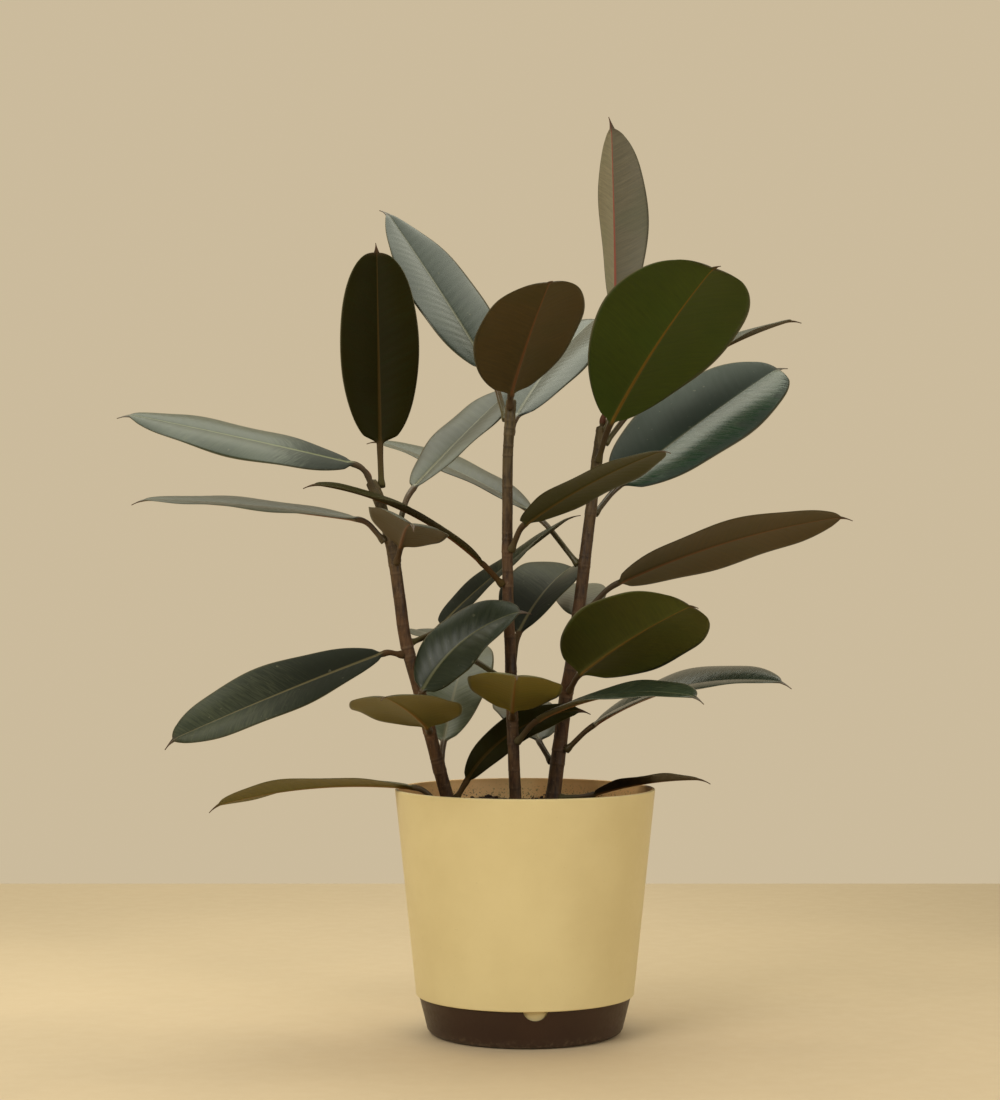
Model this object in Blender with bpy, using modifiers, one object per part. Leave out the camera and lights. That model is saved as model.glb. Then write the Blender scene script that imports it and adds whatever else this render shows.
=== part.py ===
# Potted rubber plant: three stems with broad leathery leaves, in a two-part planter.
# Metres, +Z up, origin at the middle of the planter's underside. +X right, +Y to the back.
import math

import bpy
import numpy as np

MM = 0.001
SEAT_GAP = 0.3 * MM  # left between pieces that touch

# planter
RIM_RADIUS = 95.0 * MM
RIM_HEIGHT = 178.0 * MM
SHELL_LOW_RADIUS = 79.5 * MM
SHELL_LOW_HEIGHT = 28.0 * MM
WALL = 2.4 * MM
FLOOR_HEIGHT = 10.5 * MM
FLOOR_THICKNESS = 2.5 * MM
SHELL_SKIRT_GAP = 0.4 * MM  # between the shell's lower skirt and the tray's wall
TRAY_SET_BACK = 2.1 * MM  # the tray's edge stands in from the shell's lower edge
TRAY_TAPER = 5.6 * MM
TRAY_FOOT_HEIGHT = 5.0 * MM
TRAY_WALL = 1.9 * MM
TRAY_FLOOR = 2.2 * MM
NOTCH_RADIUS = 9.2 * MM
NOTCH_RISE = 2.2 * MM  # notch centre above the tray's edge
NOTCH_AZIMUTH = -85.0
DRAIN_RADIUS = 4.0 * MM
DRAIN_CIRCLE = 42.0 * MM
DRAIN_COUNT = 6
TURN_STEPS = 48
TRAY_RADIUS = SHELL_LOW_RADIUS - TRAY_SET_BACK
TRAY_FOOT_RADIUS = TRAY_RADIUS - TRAY_TAPER

# soil
HEADSPACE = 15.0 * MM  # soil surface below the rim
SOIL_HEIGHT = RIM_HEIGHT - HEADSPACE
SOIL_BUMP = 2.2 * MM
SOIL_CLEARANCE = 0.4 * MM
ROOT_DEPTH = 27.0 * MM
SOCKET_CLEARANCE = 0.45 * MM

# plant
PLANT_SCALE = 1.0  # the plant as a whole, grown from the middle of the soil
BLADE_THICKNESS = 1.2 * MM
RIB_DEPTH = 1.3 * MM
PETIOLE_RADIUS = 2.15 * MM
PETIOLE_FLAT = 0.92  # share of that radius at a flat side of the eight-sided petiole
DRIP_TIP = 9.0 * MM
BASE_POWER = 0.58  # how full the blade is at its base end, smaller is fuller
OTHER_BASE_POWERS = {"leaf_left_01": 0.46, "leaf_left_02": 0.64, "leaf_left_08": 0.70,
                     "leaf_middle_01": 0.56, "leaf_right_05": 0.74, "leaf_right_06": 0.86,
                     "leaf_right_07": 0.50, "leaf_right_10": 0.48}
STEM_BEVEL_RESOLUTION = 3
NODE_SWELL = 1.05

# stems: centre line points in mm, heights counted from the soil, radius in mm at bottom and top
STEMS = {
    "stem_left": {
        "points": [(-54, -10, 0), (-57, -12, 11), (-66, -20, 45), (-75, -27, 82), (-85.5, -31, 121),
                   (-91, -32, 158), (-96.5, -30, 193), (-106, -26, 226), (-112, -24, 239)],
        "radius": (4.9, 4.1),
    },
    "stem_middle": {
        "points": [(-6, -15, 0), (-7, -15, 10), (-9, -15, 55), (-11, -15, 120), (-12.5, -15, 153),
                   (-13, -15, 201), (-12.5, -15, 259), (-10, -15, 299)],
        "radius": (4.4, 3.7),
    },
    "stem_right": {
        "points": [(20, 24, 0), (21.5, 24, 9), (27, 27, 52), (31.5, 30, 85), (35.5, 32, 108),
                   (41.5, 35, 153), (48.5, 38, 210), (54, 38, 255), (58, 38, 283)],
        "radius": (5.7, 3.9),
    },
}

# leaves: name, stem, height on the stem above the soil (mm),
# heading at the stem, at the blade's base and at its tip as (azimuth, elevation) in degrees,
# petiole length, blade length and width (mm), roll at base and tip, fold of the two halves (degrees),
# and how blunt the tip end is (smaller is blunter)
LEAVES = [
    ("leaf_left_01", "stem_left", 234, (100, 72), (100, 82), (102, 84), 30, 143, 58, 0, 0, 14, 0.44),
    ("leaf_left_02", "stem_left", 199, (58, 66), (50, 38), (50, 33), 39, 139, 52, 0, 0, 8, 0.46),
    ("leaf_left_03", "stem_left", 228, (-155, 66), (-172, 13), (-174, 11), 27, 163, 61, 27, 27, -5, 0.60),
    ("leaf_left_04", "stem_left", 197, (-160, 48), (-174, 8), (-174, 2), 23, 153, 58, 10, 10, 4, 0.60),
    ("leaf_left_05", "stem_left", 180, (-73, 45), (-84, 16), (-84, -6), 16, 130, 58, 20, 20, 6, 0.48),
    ("leaf_left_06", "stem_left", 121, (46, 16), (46, 38), (-2, 37), 32, 132, 42, -2, -2, 8, 0.56),
    ("leaf_left_07", "stem_left", 81, (-100, 26), (0, 63), (-22, 14), 13, 94, 52, -62, -42, 6, 0.58),
    ("leaf_left_08", "stem_left", 115, (-160, 12), (-172, -20), (-172, -24), 12, 162, 62, 34, 34, 10, 0.56),
    ("leaf_left_09", "stem_left", 60, (-94, 14), (-99, 15), (-104, 10), 12, 124, 74, -4, -4, 2, 0.46),
    ("leaf_left_10", "stem_left", 31, (86, 50), (80, 46), (80, 18), 20, 135, 52, 0, 0, 8, 0.52),
    ("leaf_left_11", "stem_left", 6, (-160, 44), (-174, 6), (-174, -15), 24, 142, 50, 0, -24, 8, 0.60),
    ("leaf_left_12", "stem_left", 6, (12, 58), (22, 57), (8, 4), 14, 103, 27, -45, -45, 10, 0.60),
    ("leaf_middle_01", "stem_middle", 293, (-90, 50), (-78, 34), (-78, 22), 10, 138, 76, -8, -8, 6, 0.50),
    ("leaf_middle_02", "stem_middle", 285, (120, 62), (142, 54), (142, 50), 40, 160, 63, 18, 18, 6, 0.78),
    ("leaf_middle_03", "stem_middle", 275, (66, 60), (62, 42), (60, 25), 12, 158, 74, 0, 0, 6, 0.52),
    ("leaf_middle_04", "stem_middle", 165, (-150, 44), (-154, 40), (-156, 6), 20, 142, 44, 12, 12, 8, 0.60),
    ("leaf_middle_05", "stem_middle", 190, (-55, 55), (-49, 25), (-49, 12), 23, 146, 58, 0, 0, -4, 0.56),
    ("leaf_middle_06", "stem_middle", 103, (78, 62), (70, 34), (66, 14), 30, 125, 58, 0, 0, 24, 0.50),
    ("leaf_middle_07", "stem_middle", 68, (-90, 24), (-89, 22), (-89, 6), 12, 122, 66, 6, 6, 2, 0.48),
    ("leaf_middle_08", "stem_middle", 51, (-48, 42), (-42, 24), (-40, -7), 25, 142, 56, -12, -12, 6, 0.56),
    ("leaf_middle_09", "stem_middle", 95, (155, 30), (122, 20), (122, 6), 36, 80, 42, 0, 0, 8, 0.52),
    ("leaf_right_01", "stem_right", 180, (155, 50), (152, 30), (152, 16), 54, 148, 58, 6, 6, 8, 0.56),
    ("leaf_right_02", "stem_right", 130, (86, 35), (84, 18), (84, 8), 20, 112, 40, 0, 0, 8, 0.52),
    ("leaf_right_03", "stem_right", 43, (-24, 44), (-22, 33), (-22, -6), 26, 150, 66, -14, -14, 8, 0.60),
    ("leaf_right_04", "stem_right", 7, (-20, 4), (-14, 18), (-14, 0), 25, 80, 42, 10, 10, 8, 0.60),
    ("leaf_right_05", "stem_right", 258, (-70, 52), (-63, 42), (-63, 27), 32, 172, 102, 16, 16, 5, 0.44),
    ("leaf_right_06", "stem_right", 281, (-5, 81), (-140, 90), (-122, 86), 62, 161, 45, 0, 0, 28, 0.60),
    ("leaf_right_07", "stem_right", 219, (40, 44), (25, 37), (25, 31), 30, 169, 97, -28, -28, 6, 0.46),
    ("leaf_right_08", "stem_right", 272, (24, 50), (19, 40), (19, 17), 36, 148, 58, 0, 0, 8, 0.60),
    ("leaf_right_09", "stem_right", 145, (-20, 46), (-10, 25), (-10, 8), 31, 172, 76, 22, 22, -3, 0.58),
    ("leaf_right_10", "stem_right", 86, (-62, 44), (-57, 26), (-57, 16), 18, 142, 86, 26, 26, 6, 0.46),
    ("leaf_right_11", "stem_right", 33, (132, 48), (100, 24), (100, 4), 20, 106, 50, 0, 0, 8, 0.52),
]

COLOURS = {
    "planter_shell": (0.62, 0.50, 0.24, 1.0),
    "planter_tray": (0.042, 0.020, 0.011, 1.0),
    "soil": (0.060, 0.032, 0.018, 1.0),
    "stem": (0.080, 0.040, 0.022, 1.0),
    "leaf": (0.030, 0.042, 0.018, 1.0),
}


def clear_scene():
    for obj in list(bpy.data.objects):
        bpy.data.objects.remove(obj, do_unlink=True)


def new_collection(name):
    collection = bpy.data.collections.new(name)
    bpy.context.scene.collection.children.link(collection)
    return collection


def give_material(obj, colour, roughness):
    material = bpy.data.materials.new(obj.name)
    material.use_nodes = True
    shader = material.node_tree.nodes["Principled BSDF"]
    shader.inputs["Base Color"].default_value = colour
    shader.inputs["Roughness"].default_value = roughness
    obj.data.materials.append(material)


def mesh_object(name, vertices, faces, collection):
    mesh = bpy.data.meshes.new(name)
    mesh.from_pydata([tuple(v) for v in vertices], [], faces)
    mesh.update()
    obj = bpy.data.objects.new(name, mesh)
    collection.objects.link(obj)
    return obj


def shade_smooth(mesh):
    mesh.polygons.foreach_set("use_smooth", [True] * len(mesh.polygons))


def turned(name, profile, collection):
    """A closed profile of (radius, height) points turned about the vertical axis."""
    vertices = [(radius, 0.0, height) for radius, height in profile]
    edges = [(i, i + 1) for i in range(len(profile) - 1)]
    mesh = bpy.data.meshes.new(name)
    mesh.from_pydata(vertices, edges, [])
    obj = bpy.data.objects.new(name, mesh)
    collection.objects.link(obj)
    screw = obj.modifiers.new("turn", "SCREW")
    screw.axis = "Z"
    screw.steps = TURN_STEPS
    screw.render_steps = TURN_STEPS
    screw.use_merge_vertices = True
    screw.merge_threshold = 0.00005
    screw.use_smooth_shade = True
    screw.use_normal_calculate = True
    return obj


def baked(obj):
    """The object's finished shape as a plain mesh."""
    depsgraph = bpy.context.evaluated_depsgraph_get()
    mesh = bpy.data.meshes.new_from_object(obj.evaluated_get(depsgraph))
    mesh.name = obj.name
    obj.modifiers.clear()
    obj.data = mesh
    return mesh


def cylinder_cutter(name, places, radius, bottom, top, sides, cutters):
    """Upright round cutters at several places, in one mesh."""
    vertices = []
    faces = []
    for x, y in places:
        start = len(vertices)
        for height in (bottom, top):
            for i in range(sides):
                angle = 2.0 * math.pi * (i + 0.5) / sides
                vertices.append((x + radius * math.cos(angle), y + radius * math.sin(angle), height))
        for i in range(sides):
            j = (i + 1) % sides
            faces.append((start + i, start + j, start + sides + j, start + sides + i))
        faces.append(tuple(start + i for i in reversed(range(sides))))
        faces.append(tuple(start + sides + i for i in range(sides)))
    obj = mesh_object(name, vertices, faces, cutters)
    obj.hide_render = True
    obj.display_type = "WIRE"
    return obj


def cut(obj, cutter):
    boolean = obj.modifiers.new("cut " + cutter.name, "BOOLEAN")
    boolean.operation = "DIFFERENCE"
    boolean.solver = "EXACT"
    boolean.object = cutter


# planter
def wall_inner_radius(height):
    """Radius of the shell's inner face above its step."""
    share = (height - SHELL_LOW_HEIGHT) / (RIM_HEIGHT - SHELL_LOW_HEIGHT)
    return SHELL_LOW_RADIUS + (RIM_RADIUS - SHELL_LOW_RADIUS) * share - WALL


def tray_inner_radius(height):
    top = SHELL_LOW_HEIGHT - SEAT_GAP
    share = (height - TRAY_FOOT_HEIGHT) / (top - TRAY_FOOT_HEIGHT)
    return TRAY_FOOT_RADIUS + (TRAY_RADIUS - TRAY_FOOT_RADIUS) * share - TRAY_WALL


def make_shell(collection, cutters):
    skirt = SHELL_SKIRT_GAP
    under = FLOOR_HEIGHT - FLOOR_THICKNESS
    low_outer = tray_inner_radius(under) - skirt
    step_outer = tray_inner_radius(SHELL_LOW_HEIGHT) - skirt
    knee = SHELL_LOW_HEIGHT + 8.0 * MM
    profile = [
        (RIM_RADIUS - 0.9 * MM, RIM_HEIGHT),
        (RIM_RADIUS - 0.2 * MM, RIM_HEIGHT - 0.5 * MM),
        (RIM_RADIUS, RIM_HEIGHT - 1.6 * MM),
        (SHELL_LOW_RADIUS + 0.1 * MM, SHELL_LOW_HEIGHT + 1.0 * MM),
        (SHELL_LOW_RADIUS - 0.6 * MM, SHELL_LOW_HEIGHT),
        (step_outer, SHELL_LOW_HEIGHT),
        (low_outer, under + 1.0 * MM),
        (low_outer - 1.0 * MM, under),
        (0.0, under),
        (0.0, FLOOR_HEIGHT),
        (low_outer - WALL, FLOOR_HEIGHT),
        (step_outer - WALL, SHELL_LOW_HEIGHT + 1.5 * MM),
        (wall_inner_radius(knee), knee),
        (wall_inner_radius(RIM_HEIGHT) + 0.1 * MM, RIM_HEIGHT - 0.6 * MM),
        (RIM_RADIUS - WALL + 0.9 * MM, RIM_HEIGHT),
        (RIM_RADIUS - 0.9 * MM, RIM_HEIGHT),
    ]
    shell = turned("planter_shell", profile, collection)
    places = []
    for i in range(DRAIN_COUNT):
        angle = 2.0 * math.pi * (i + 0.5) / DRAIN_COUNT
        places.append((DRAIN_CIRCLE * math.cos(angle), DRAIN_CIRCLE * math.sin(angle)))
    holes = cylinder_cutter("drain_holes", places, DRAIN_RADIUS, under - 2.0 * MM,
                            FLOOR_HEIGHT + 2.0 * MM, 12, cutters)
    cut(shell, holes)
    give_material(shell, COLOURS["planter_shell"], 0.45)
    return shell


def make_tray(collection, cutters):
    top = SHELL_LOW_HEIGHT - SEAT_GAP
    profile = [
        (TRAY_RADIUS - 0.3 * MM, top),
        (TRAY_RADIUS, top - 0.4 * MM),
        (TRAY_FOOT_RADIUS, TRAY_FOOT_HEIGHT),
        (TRAY_FOOT_RADIUS - 1.2 * MM, 2.2 * MM),
        (TRAY_FOOT_RADIUS - 3.2 * MM, 0.6 * MM),
        (TRAY_FOOT_RADIUS - 5.2 * MM, 0.0),
        (0.0, 0.0),
        (0.0, TRAY_FLOOR),
        (TRAY_FOOT_RADIUS - TRAY_WALL - 4.2 * MM, TRAY_FLOOR),
        (TRAY_FOOT_RADIUS - TRAY_WALL - 1.2 * MM, 3.6 * MM),
        (TRAY_FOOT_RADIUS - TRAY_WALL, 5.8 * MM),
        (TRAY_RADIUS - TRAY_WALL, top - 0.4 * MM),
        (TRAY_RADIUS - TRAY_WALL + 0.3 * MM, top),
        (TRAY_RADIUS - 0.3 * MM, top),
    ]
    tray = turned("planter_tray", profile, collection)
    # half-round notch through the front of the tray's edge
    sides = 20
    angle = math.radians(NOTCH_AZIMUTH)
    out = np.array((math.cos(angle), math.sin(angle), 0.0))
    side = np.array((-out[1], out[0], 0.0))
    up = np.array((0.0, 0.0, 1.0))
    vertices = []
    for reach in (TRAY_RADIUS - 8.0 * MM, TRAY_RADIUS + 6.0 * MM):
        for i in range(sides):
            turn = 2.0 * math.pi * (i + 0.5) / sides
            middle = out * reach + up * (SHELL_LOW_HEIGHT + NOTCH_RISE)
            vertices.append(middle + NOTCH_RADIUS * (side * math.cos(turn) + up * math.sin(turn)))
    faces = [(i, (i + 1) % sides, sides + (i + 1) % sides, sides + i) for i in range(sides)]
    faces.append(tuple(reversed(range(sides))))
    faces.append(tuple(range(sides, 2 * sides)))
    notch = mesh_object("notch_cutter", vertices, faces, cutters)
    notch.hide_render = True
    notch.display_type = "WIRE"
    cut(tray, notch)
    give_material(tray, COLOURS["planter_tray"], 0.4)
    return tray


# soil
def soil_bump(x, y):
    """Uneven top of the soil, in metres above or below its mean height."""
    wave = np.sin(x * 95.0 + 1.3) * np.cos(y * 110.0 - 0.4)
    fine = np.sin(x * 260.0 - 0.7) * np.sin(y * 240.0 + 2.1)
    return SOIL_BUMP * (0.65 * wave + 0.35 * fine)


def make_soil(collection, cutters):
    gap = SOIL_CLEARANCE
    skirt = SHELL_SKIRT_GAP
    floor = FLOOR_HEIGHT + SEAT_GAP
    low = tray_inner_radius(FLOOR_HEIGHT - FLOOR_THICKNESS) - skirt - WALL - gap
    step = tray_inner_radius(SHELL_LOW_HEIGHT) - skirt - WALL - gap
    knee = SHELL_LOW_HEIGHT + 8.0 * MM
    profile = [(0.0, SOIL_HEIGHT)]
    for share in (0.14, 0.28, 0.42, 0.56, 0.70, 0.84, 0.94):
        profile.append((wall_inner_radius(SOIL_HEIGHT) * share, SOIL_HEIGHT))
    edge = SOIL_HEIGHT - 1.5 * MM
    profile += [
        (wall_inner_radius(edge) - gap, edge),
        (wall_inner_radius(knee) - gap, knee),
        (step, SHELL_LOW_HEIGHT + 1.5 * MM),
        (low - 0.3 * MM, floor + 0.6 * MM),
        (0.0, floor),
    ]
    soil = turned("soil", profile, collection)
    mesh = baked(soil)
    spots = np.empty(len(mesh.vertices) * 3)
    mesh.vertices.foreach_get("co", spots)
    spots = spots.reshape(-1, 3)
    top = spots[:, 2] > SOIL_HEIGHT - 0.1 * MM
    spots[top, 2] += soil_bump(spots[top, 0], spots[top, 1])
    mesh.vertices.foreach_set("co", spots.ravel())
    mesh.update()
    for name, stem in STEMS.items():
        x, y, z = np.array(stem["points"][0], dtype=float) * MM * PLANT_SCALE
        radius = stem["radius"][0] * MM + SOCKET_CLEARANCE
        bottom = SOIL_HEIGHT - ROOT_DEPTH - SEAT_GAP
        socket = cylinder_cutter(name + "_socket", [(x, y)], radius, bottom,
                                 SOIL_HEIGHT + 20.0 * MM, 16, cutters)
        cut(soil, socket)
    give_material(soil, COLOURS["soil"], 0.95)
    return soil


# stems
def stem_line(name):
    """Stem centre line in metres, smoothed, with its radius at every point."""
    stem = STEMS[name]
    points = np.array(stem["points"], dtype=float) * MM * PLANT_SCALE
    points = np.vstack([points[0] - (0.0, 0.0, ROOT_DEPTH), points])
    points[:, 2] += SOIL_HEIGHT
    t = np.arange(len(points), dtype=float)
    fine = np.linspace(0.0, t[-1], 8 * (len(points) - 1) + 1)
    line = np.empty((len(fine), 3))
    for k, u in enumerate(fine):
        i = min(int(u), len(points) - 2)
        f = u - i
        p0 = points[max(i - 1, 0)]
        p1 = points[i]
        p2 = points[i + 1]
        p3 = points[min(i + 2, len(points) - 1)]
        line[k] = 0.5 * (2 * p1 + (p2 - p0) * f + (2 * p0 - 5 * p1 + 4 * p2 - p3) * f * f
                         + (3 * p1 - p0 - 3 * p2 + p3) * f ** 3)
    low, high = stem["radius"]
    share = (line[:, 2] - line[0, 2]) / (line[-1, 2] - line[0, 2])
    return line, (low + (high - low) * share) * MM


def stem_at(name, height):
    """Place, direction and radius of a stem at a height in metres."""
    line, radii = stem_line(name)
    place = np.array([np.interp(height, line[:, 2], line[:, k]) for k in range(3)])
    i = int(np.clip(np.searchsorted(line[:, 2], height), 1, len(line) - 1))
    along = line[i] - line[i - 1]
    return place, along / np.linalg.norm(along), float(np.interp(height, line[:, 2], radii))


def leaf_height(mm):
    return SOIL_HEIGHT + mm * MM * PLANT_SCALE


def make_stem(name, collection):
    line, radii = stem_line(name)
    nodes = sorted(leaf_height(leaf[2]) for leaf in LEAVES if leaf[1] == name)
    heights = list(np.linspace(line[0, 2], line[-1, 2], 15))
    for node in nodes:
        heights = [h for h in heights if abs(h - node) > 6.0 * MM]
        heights += [node - 3.5 * MM, node, node + 3.5 * MM]
    heights = sorted(h for h in heights if line[0, 2] <= h <= line[-1, 2])
    kept = [heights[0]]
    for height in heights[1:]:
        if height - kept[-1] > 1.2 * MM:
            kept.append(height)
    curve = bpy.data.curves.new(name, "CURVE")
    curve.dimensions = "3D"
    curve.bevel_depth = 1.0
    curve.bevel_resolution = STEM_BEVEL_RESOLUTION
    curve.use_fill_caps = True
    spline = curve.splines.new("POLY")
    spline.points.add(len(kept) - 1)
    for point, height in zip(spline.points, kept):
        x = np.interp(height, line[:, 2], line[:, 0])
        y = np.interp(height, line[:, 2], line[:, 1])
        point.co = (x, y, height, 1.0)
        near = min((abs(height - node) for node in nodes), default=1.0)
        swell = NODE_SWELL if near < 0.2 * MM else 1.0
        point.radius = float(np.interp(height, line[:, 2], radii)) * swell
    spline.use_smooth = True
    obj = bpy.data.objects.new(name, curve)
    collection.objects.link(obj)
    give_material(obj, COLOURS["stem"], 0.7)
    return obj


# leaves
def heading(azimuth, elevation):
    a = np.radians(azimuth)
    e = np.radians(elevation)
    return np.stack([np.cos(e) * np.cos(a), np.cos(e) * np.sin(a), np.sin(e)], axis=-1)


def midline(start, petiole, blade, at_stem, at_base, at_tip, samples=160):
    """Centre line from the stem through petiole, blade and drip tip, with azimuth and elevation."""
    total = petiole + blade + DRIP_TIP
    s = np.linspace(0.0, total, samples)
    p = np.clip((s / petiole - 0.45) / 0.65, 0.0, 1.0)
    p = p * p * (3.0 - 2.0 * p)
    u = np.clip((s - petiole) / blade, 0.0, 1.0)
    drip = np.clip((s - petiole - blade * 0.96) / (total - petiole - blade * 0.96), 0.0, 1.0)
    azimuth = at_stem[0] + (at_base[0] - at_stem[0]) * p + (at_tip[0] - at_base[0]) * u
    elevation = at_stem[1] + (at_base[1] - at_stem[1]) * p + (at_tip[1] - at_base[1]) * u
    elevation = elevation - 32.0 * drip
    step = heading(azimuth, elevation)
    moves = 0.5 * (step[1:] + step[:-1]) * (s[1] - s[0])
    line = start + np.vstack([np.zeros(3), np.cumsum(moves, axis=0)])
    return s, line, azimuth, elevation


def blade_width(u, base_power, tip_power):
    """Half width of the blade against its length, 1 at the widest."""
    u = np.clip(u, 0.0, 1.0)
    widest = base_power / (base_power + tip_power)
    peak = widest ** base_power * (1.0 - widest) ** tip_power
    return u ** base_power * (1.0 - u) ** tip_power / peak


STATIONS = (0.0, 0.035, 0.10, 0.20, 0.32, 0.45, 0.58, 0.70, 0.81, 0.90, 0.96, 0.99)
ACROSS = (-1.0, -0.5, 0.0, 0.5, 1.0)


def make_leaf(spec, collection):
    (name, stem, height, at_stem, at_base, at_tip, petiole, length, width,
     roll_base, roll_tip, fold, tip_power) = spec
    petiole = petiole * MM * PLANT_SCALE
    length = length * MM * PLANT_SCALE
    half = 0.5 * width * MM * PLANT_SCALE
    base_power = OTHER_BASE_POWERS.get(name, BASE_POWER)
    place, along, stem_radius = stem_at(stem, leaf_height(height))
    first = heading(at_stem[0], at_stem[1])
    out = first - along * np.dot(first, along)
    square = np.linalg.norm(out)
    out = out / square
    foot = PETIOLE_RADIUS * PETIOLE_FLAT
    clearance = stem_radius * NODE_SWELL + SEAT_GAP + foot * math.sqrt(1.0 - square ** 2)
    s, line, azimuth, elevation = midline(place + out * clearance, petiole, length,
                                          at_stem, at_base, at_tip)
    stations = [petiole * k for k in (0.0, 0.25, 0.55, 0.85)]
    stations += [petiole + length * u for u in STATIONS]
    stations += [petiole + length + DRIP_TIP]
    rings = []
    for station in stations:
        centre = np.array([np.interp(station, s, line[:, k]) for k in range(3)])
        a = float(np.interp(station, s, azimuth))
        e = float(np.interp(station, s, elevation))
        u = (station - petiole) / length
        ahead = heading(a, e)
        side = np.array([math.sin(math.radians(a)), -math.cos(math.radians(a)), 0.0])
        normal = np.cross(side, ahead)
        share = min(max(u, 0.0), 1.0)
        roll = math.radians(roll_base + (roll_tip - roll_base) * share)
        fade = min(max((station / petiole), 0.0), 1.0)
        roll *= fade * fade
        side, normal = (side * math.cos(roll) + normal * math.sin(roll),
                        normal * math.cos(roll) - side * math.sin(roll))
        flat = min(max(u / 0.035, 0.0), 1.0)
        reach = max(half * float(blade_width(u, base_power, tip_power)), 0.9 * MM)
        rise = math.tan(math.radians(fold))
        thick = BLADE_THICKNESS * (1.0 if u < 0.97 else 0.8)
        rib = RIB_DEPTH * (1.0 - 0.75 * share)
        ring = []
        for k in range(8):
            j = k if k < 5 else 8 - k
            turn = math.pi * (1.0 - j / 4.0)
            upper = k < 5
            x = PETIOLE_RADIUS * math.cos(turn)
            z = PETIOLE_RADIUS * math.sin(turn) * (1.0 if upper else -1.0)
            across = ACROSS[j] * reach
            lift = abs(across) * rise
            if j in (1, 2, 3):
                lift += 0.5 * thick if upper else -0.5 * thick
            if k == 6:
                lift -= rib
            x = x * (1.0 - flat) + across * flat
            z = z * (1.0 - flat) + lift * flat
            ring.append(centre + side * x + normal * z)
        rings.append(ring)
    vertices = [point for ring in rings for point in ring]
    faces = []
    for r in range(len(rings) - 1):
        for k in range(8):
            j = (k + 1) % 8
            faces.append((8 * r + j, 8 * (r + 1) + j, 8 * (r + 1) + k, 8 * r + k))
    faces.append(tuple(reversed(range(8))))
    last = 8 * (len(rings) - 1)
    faces.append(tuple(last + k for k in range(8)))
    leaf = mesh_object(name, vertices, faces, collection)
    shade_smooth(leaf.data)
    give_material(leaf, COLOURS["leaf"], 0.3)
    return leaf


def main():
    clear_scene()
    plant = new_collection("potted_rubber_plant")
    cutters = new_collection("cutters")
    make_shell(plant, cutters)
    make_tray(plant, cutters)
    make_soil(plant, cutters)
    for name in STEMS:
        make_stem(name, plant)
    for spec in LEAVES:
        make_leaf(spec, plant)
    cutters.hide_render = True


main()
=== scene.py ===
import math

import bpy
import numpy as np
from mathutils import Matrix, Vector


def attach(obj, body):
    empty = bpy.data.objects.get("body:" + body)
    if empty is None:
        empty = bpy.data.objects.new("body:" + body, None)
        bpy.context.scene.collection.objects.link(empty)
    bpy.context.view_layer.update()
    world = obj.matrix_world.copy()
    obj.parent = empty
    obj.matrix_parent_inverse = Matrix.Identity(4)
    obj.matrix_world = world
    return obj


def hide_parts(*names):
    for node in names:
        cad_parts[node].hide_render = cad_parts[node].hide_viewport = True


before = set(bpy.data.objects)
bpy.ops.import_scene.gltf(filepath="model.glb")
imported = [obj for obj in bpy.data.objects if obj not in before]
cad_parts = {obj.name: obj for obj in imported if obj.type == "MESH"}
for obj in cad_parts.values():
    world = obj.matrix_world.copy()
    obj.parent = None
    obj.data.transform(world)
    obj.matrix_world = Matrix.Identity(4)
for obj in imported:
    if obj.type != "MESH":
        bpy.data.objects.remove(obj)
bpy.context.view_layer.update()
print("frame loaded:", len(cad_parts), "nodes")

mm = 0.001


# rings of points joined into a closed tube of quads, with a fan of triangles over each end
def tubeFaces(ringCount, pointsPerRing):
    ring = np.arange(ringCount - 1)[:, None] * pointsPerRing
    here = np.arange(pointsPerRing)[None, :]
    there = (here + 1) % pointsPerRing
    quads = np.stack([ring + here, ring + pointsPerRing + here,
                      ring + pointsPerRing + there, ring + there], axis=-1).reshape(-1, 4)
    first = ringCount * pointsPerRing
    around = np.arange(pointsPerRing)
    after = (around + 1) % pointsPerRing
    last = (ringCount - 1) * pointsPerRing
    startFan = np.stack([np.full(pointsPerRing, first), around, after], axis=-1)
    endFan = np.stack([np.full(pointsPerRing, first + 1), last + after, last + around], axis=-1)
    return quads, np.concatenate([startFan, endFan])


# the tube's points with the middles of its two ends added
def withEnds(rings):
    points = rings.reshape(-1, 3)
    return np.concatenate([points, rings[0].mean(axis=0)[None], rings[-1].mean(axis=0)[None]])


def makeObject(name, points, quads, triangles=()):
    mesh = bpy.data.meshes.new(name)
    mesh.from_pydata(points.tolist(), [], quads.tolist() + [list(t) for t in triangles])
    mesh.polygons.foreach_set("use_smooth", np.ones(len(mesh.polygons), dtype=bool))
    mesh.update()
    piece = bpy.data.objects.new(name, mesh)
    bpy.context.scene.collection.objects.link(piece)
    return piece


def addAttribute(piece, name, values):
    layer = piece.data.attributes.new(name, "FLOAT", "POINT")
    layer.data.foreach_set("value", np.ascontiguousarray(values, dtype=np.float32))


# a map of two numbers for every point, kept as the piece's own UV map
def addMap(piece, name, pairs):
    layer = piece.data.uv_layers.new(name=name)
    corners = np.empty(len(piece.data.loops), dtype=np.int32)
    piece.data.loops.foreach_get("vertex_index", corners)
    layer.data.foreach_set("uv", np.ascontiguousarray(pairs[corners], dtype=np.float32).ravel())


def finishPiece(piece, material, slot, *nodes):
    piece.data.materials.append(material)
    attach(piece, "root")
    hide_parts(*nodes)


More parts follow.
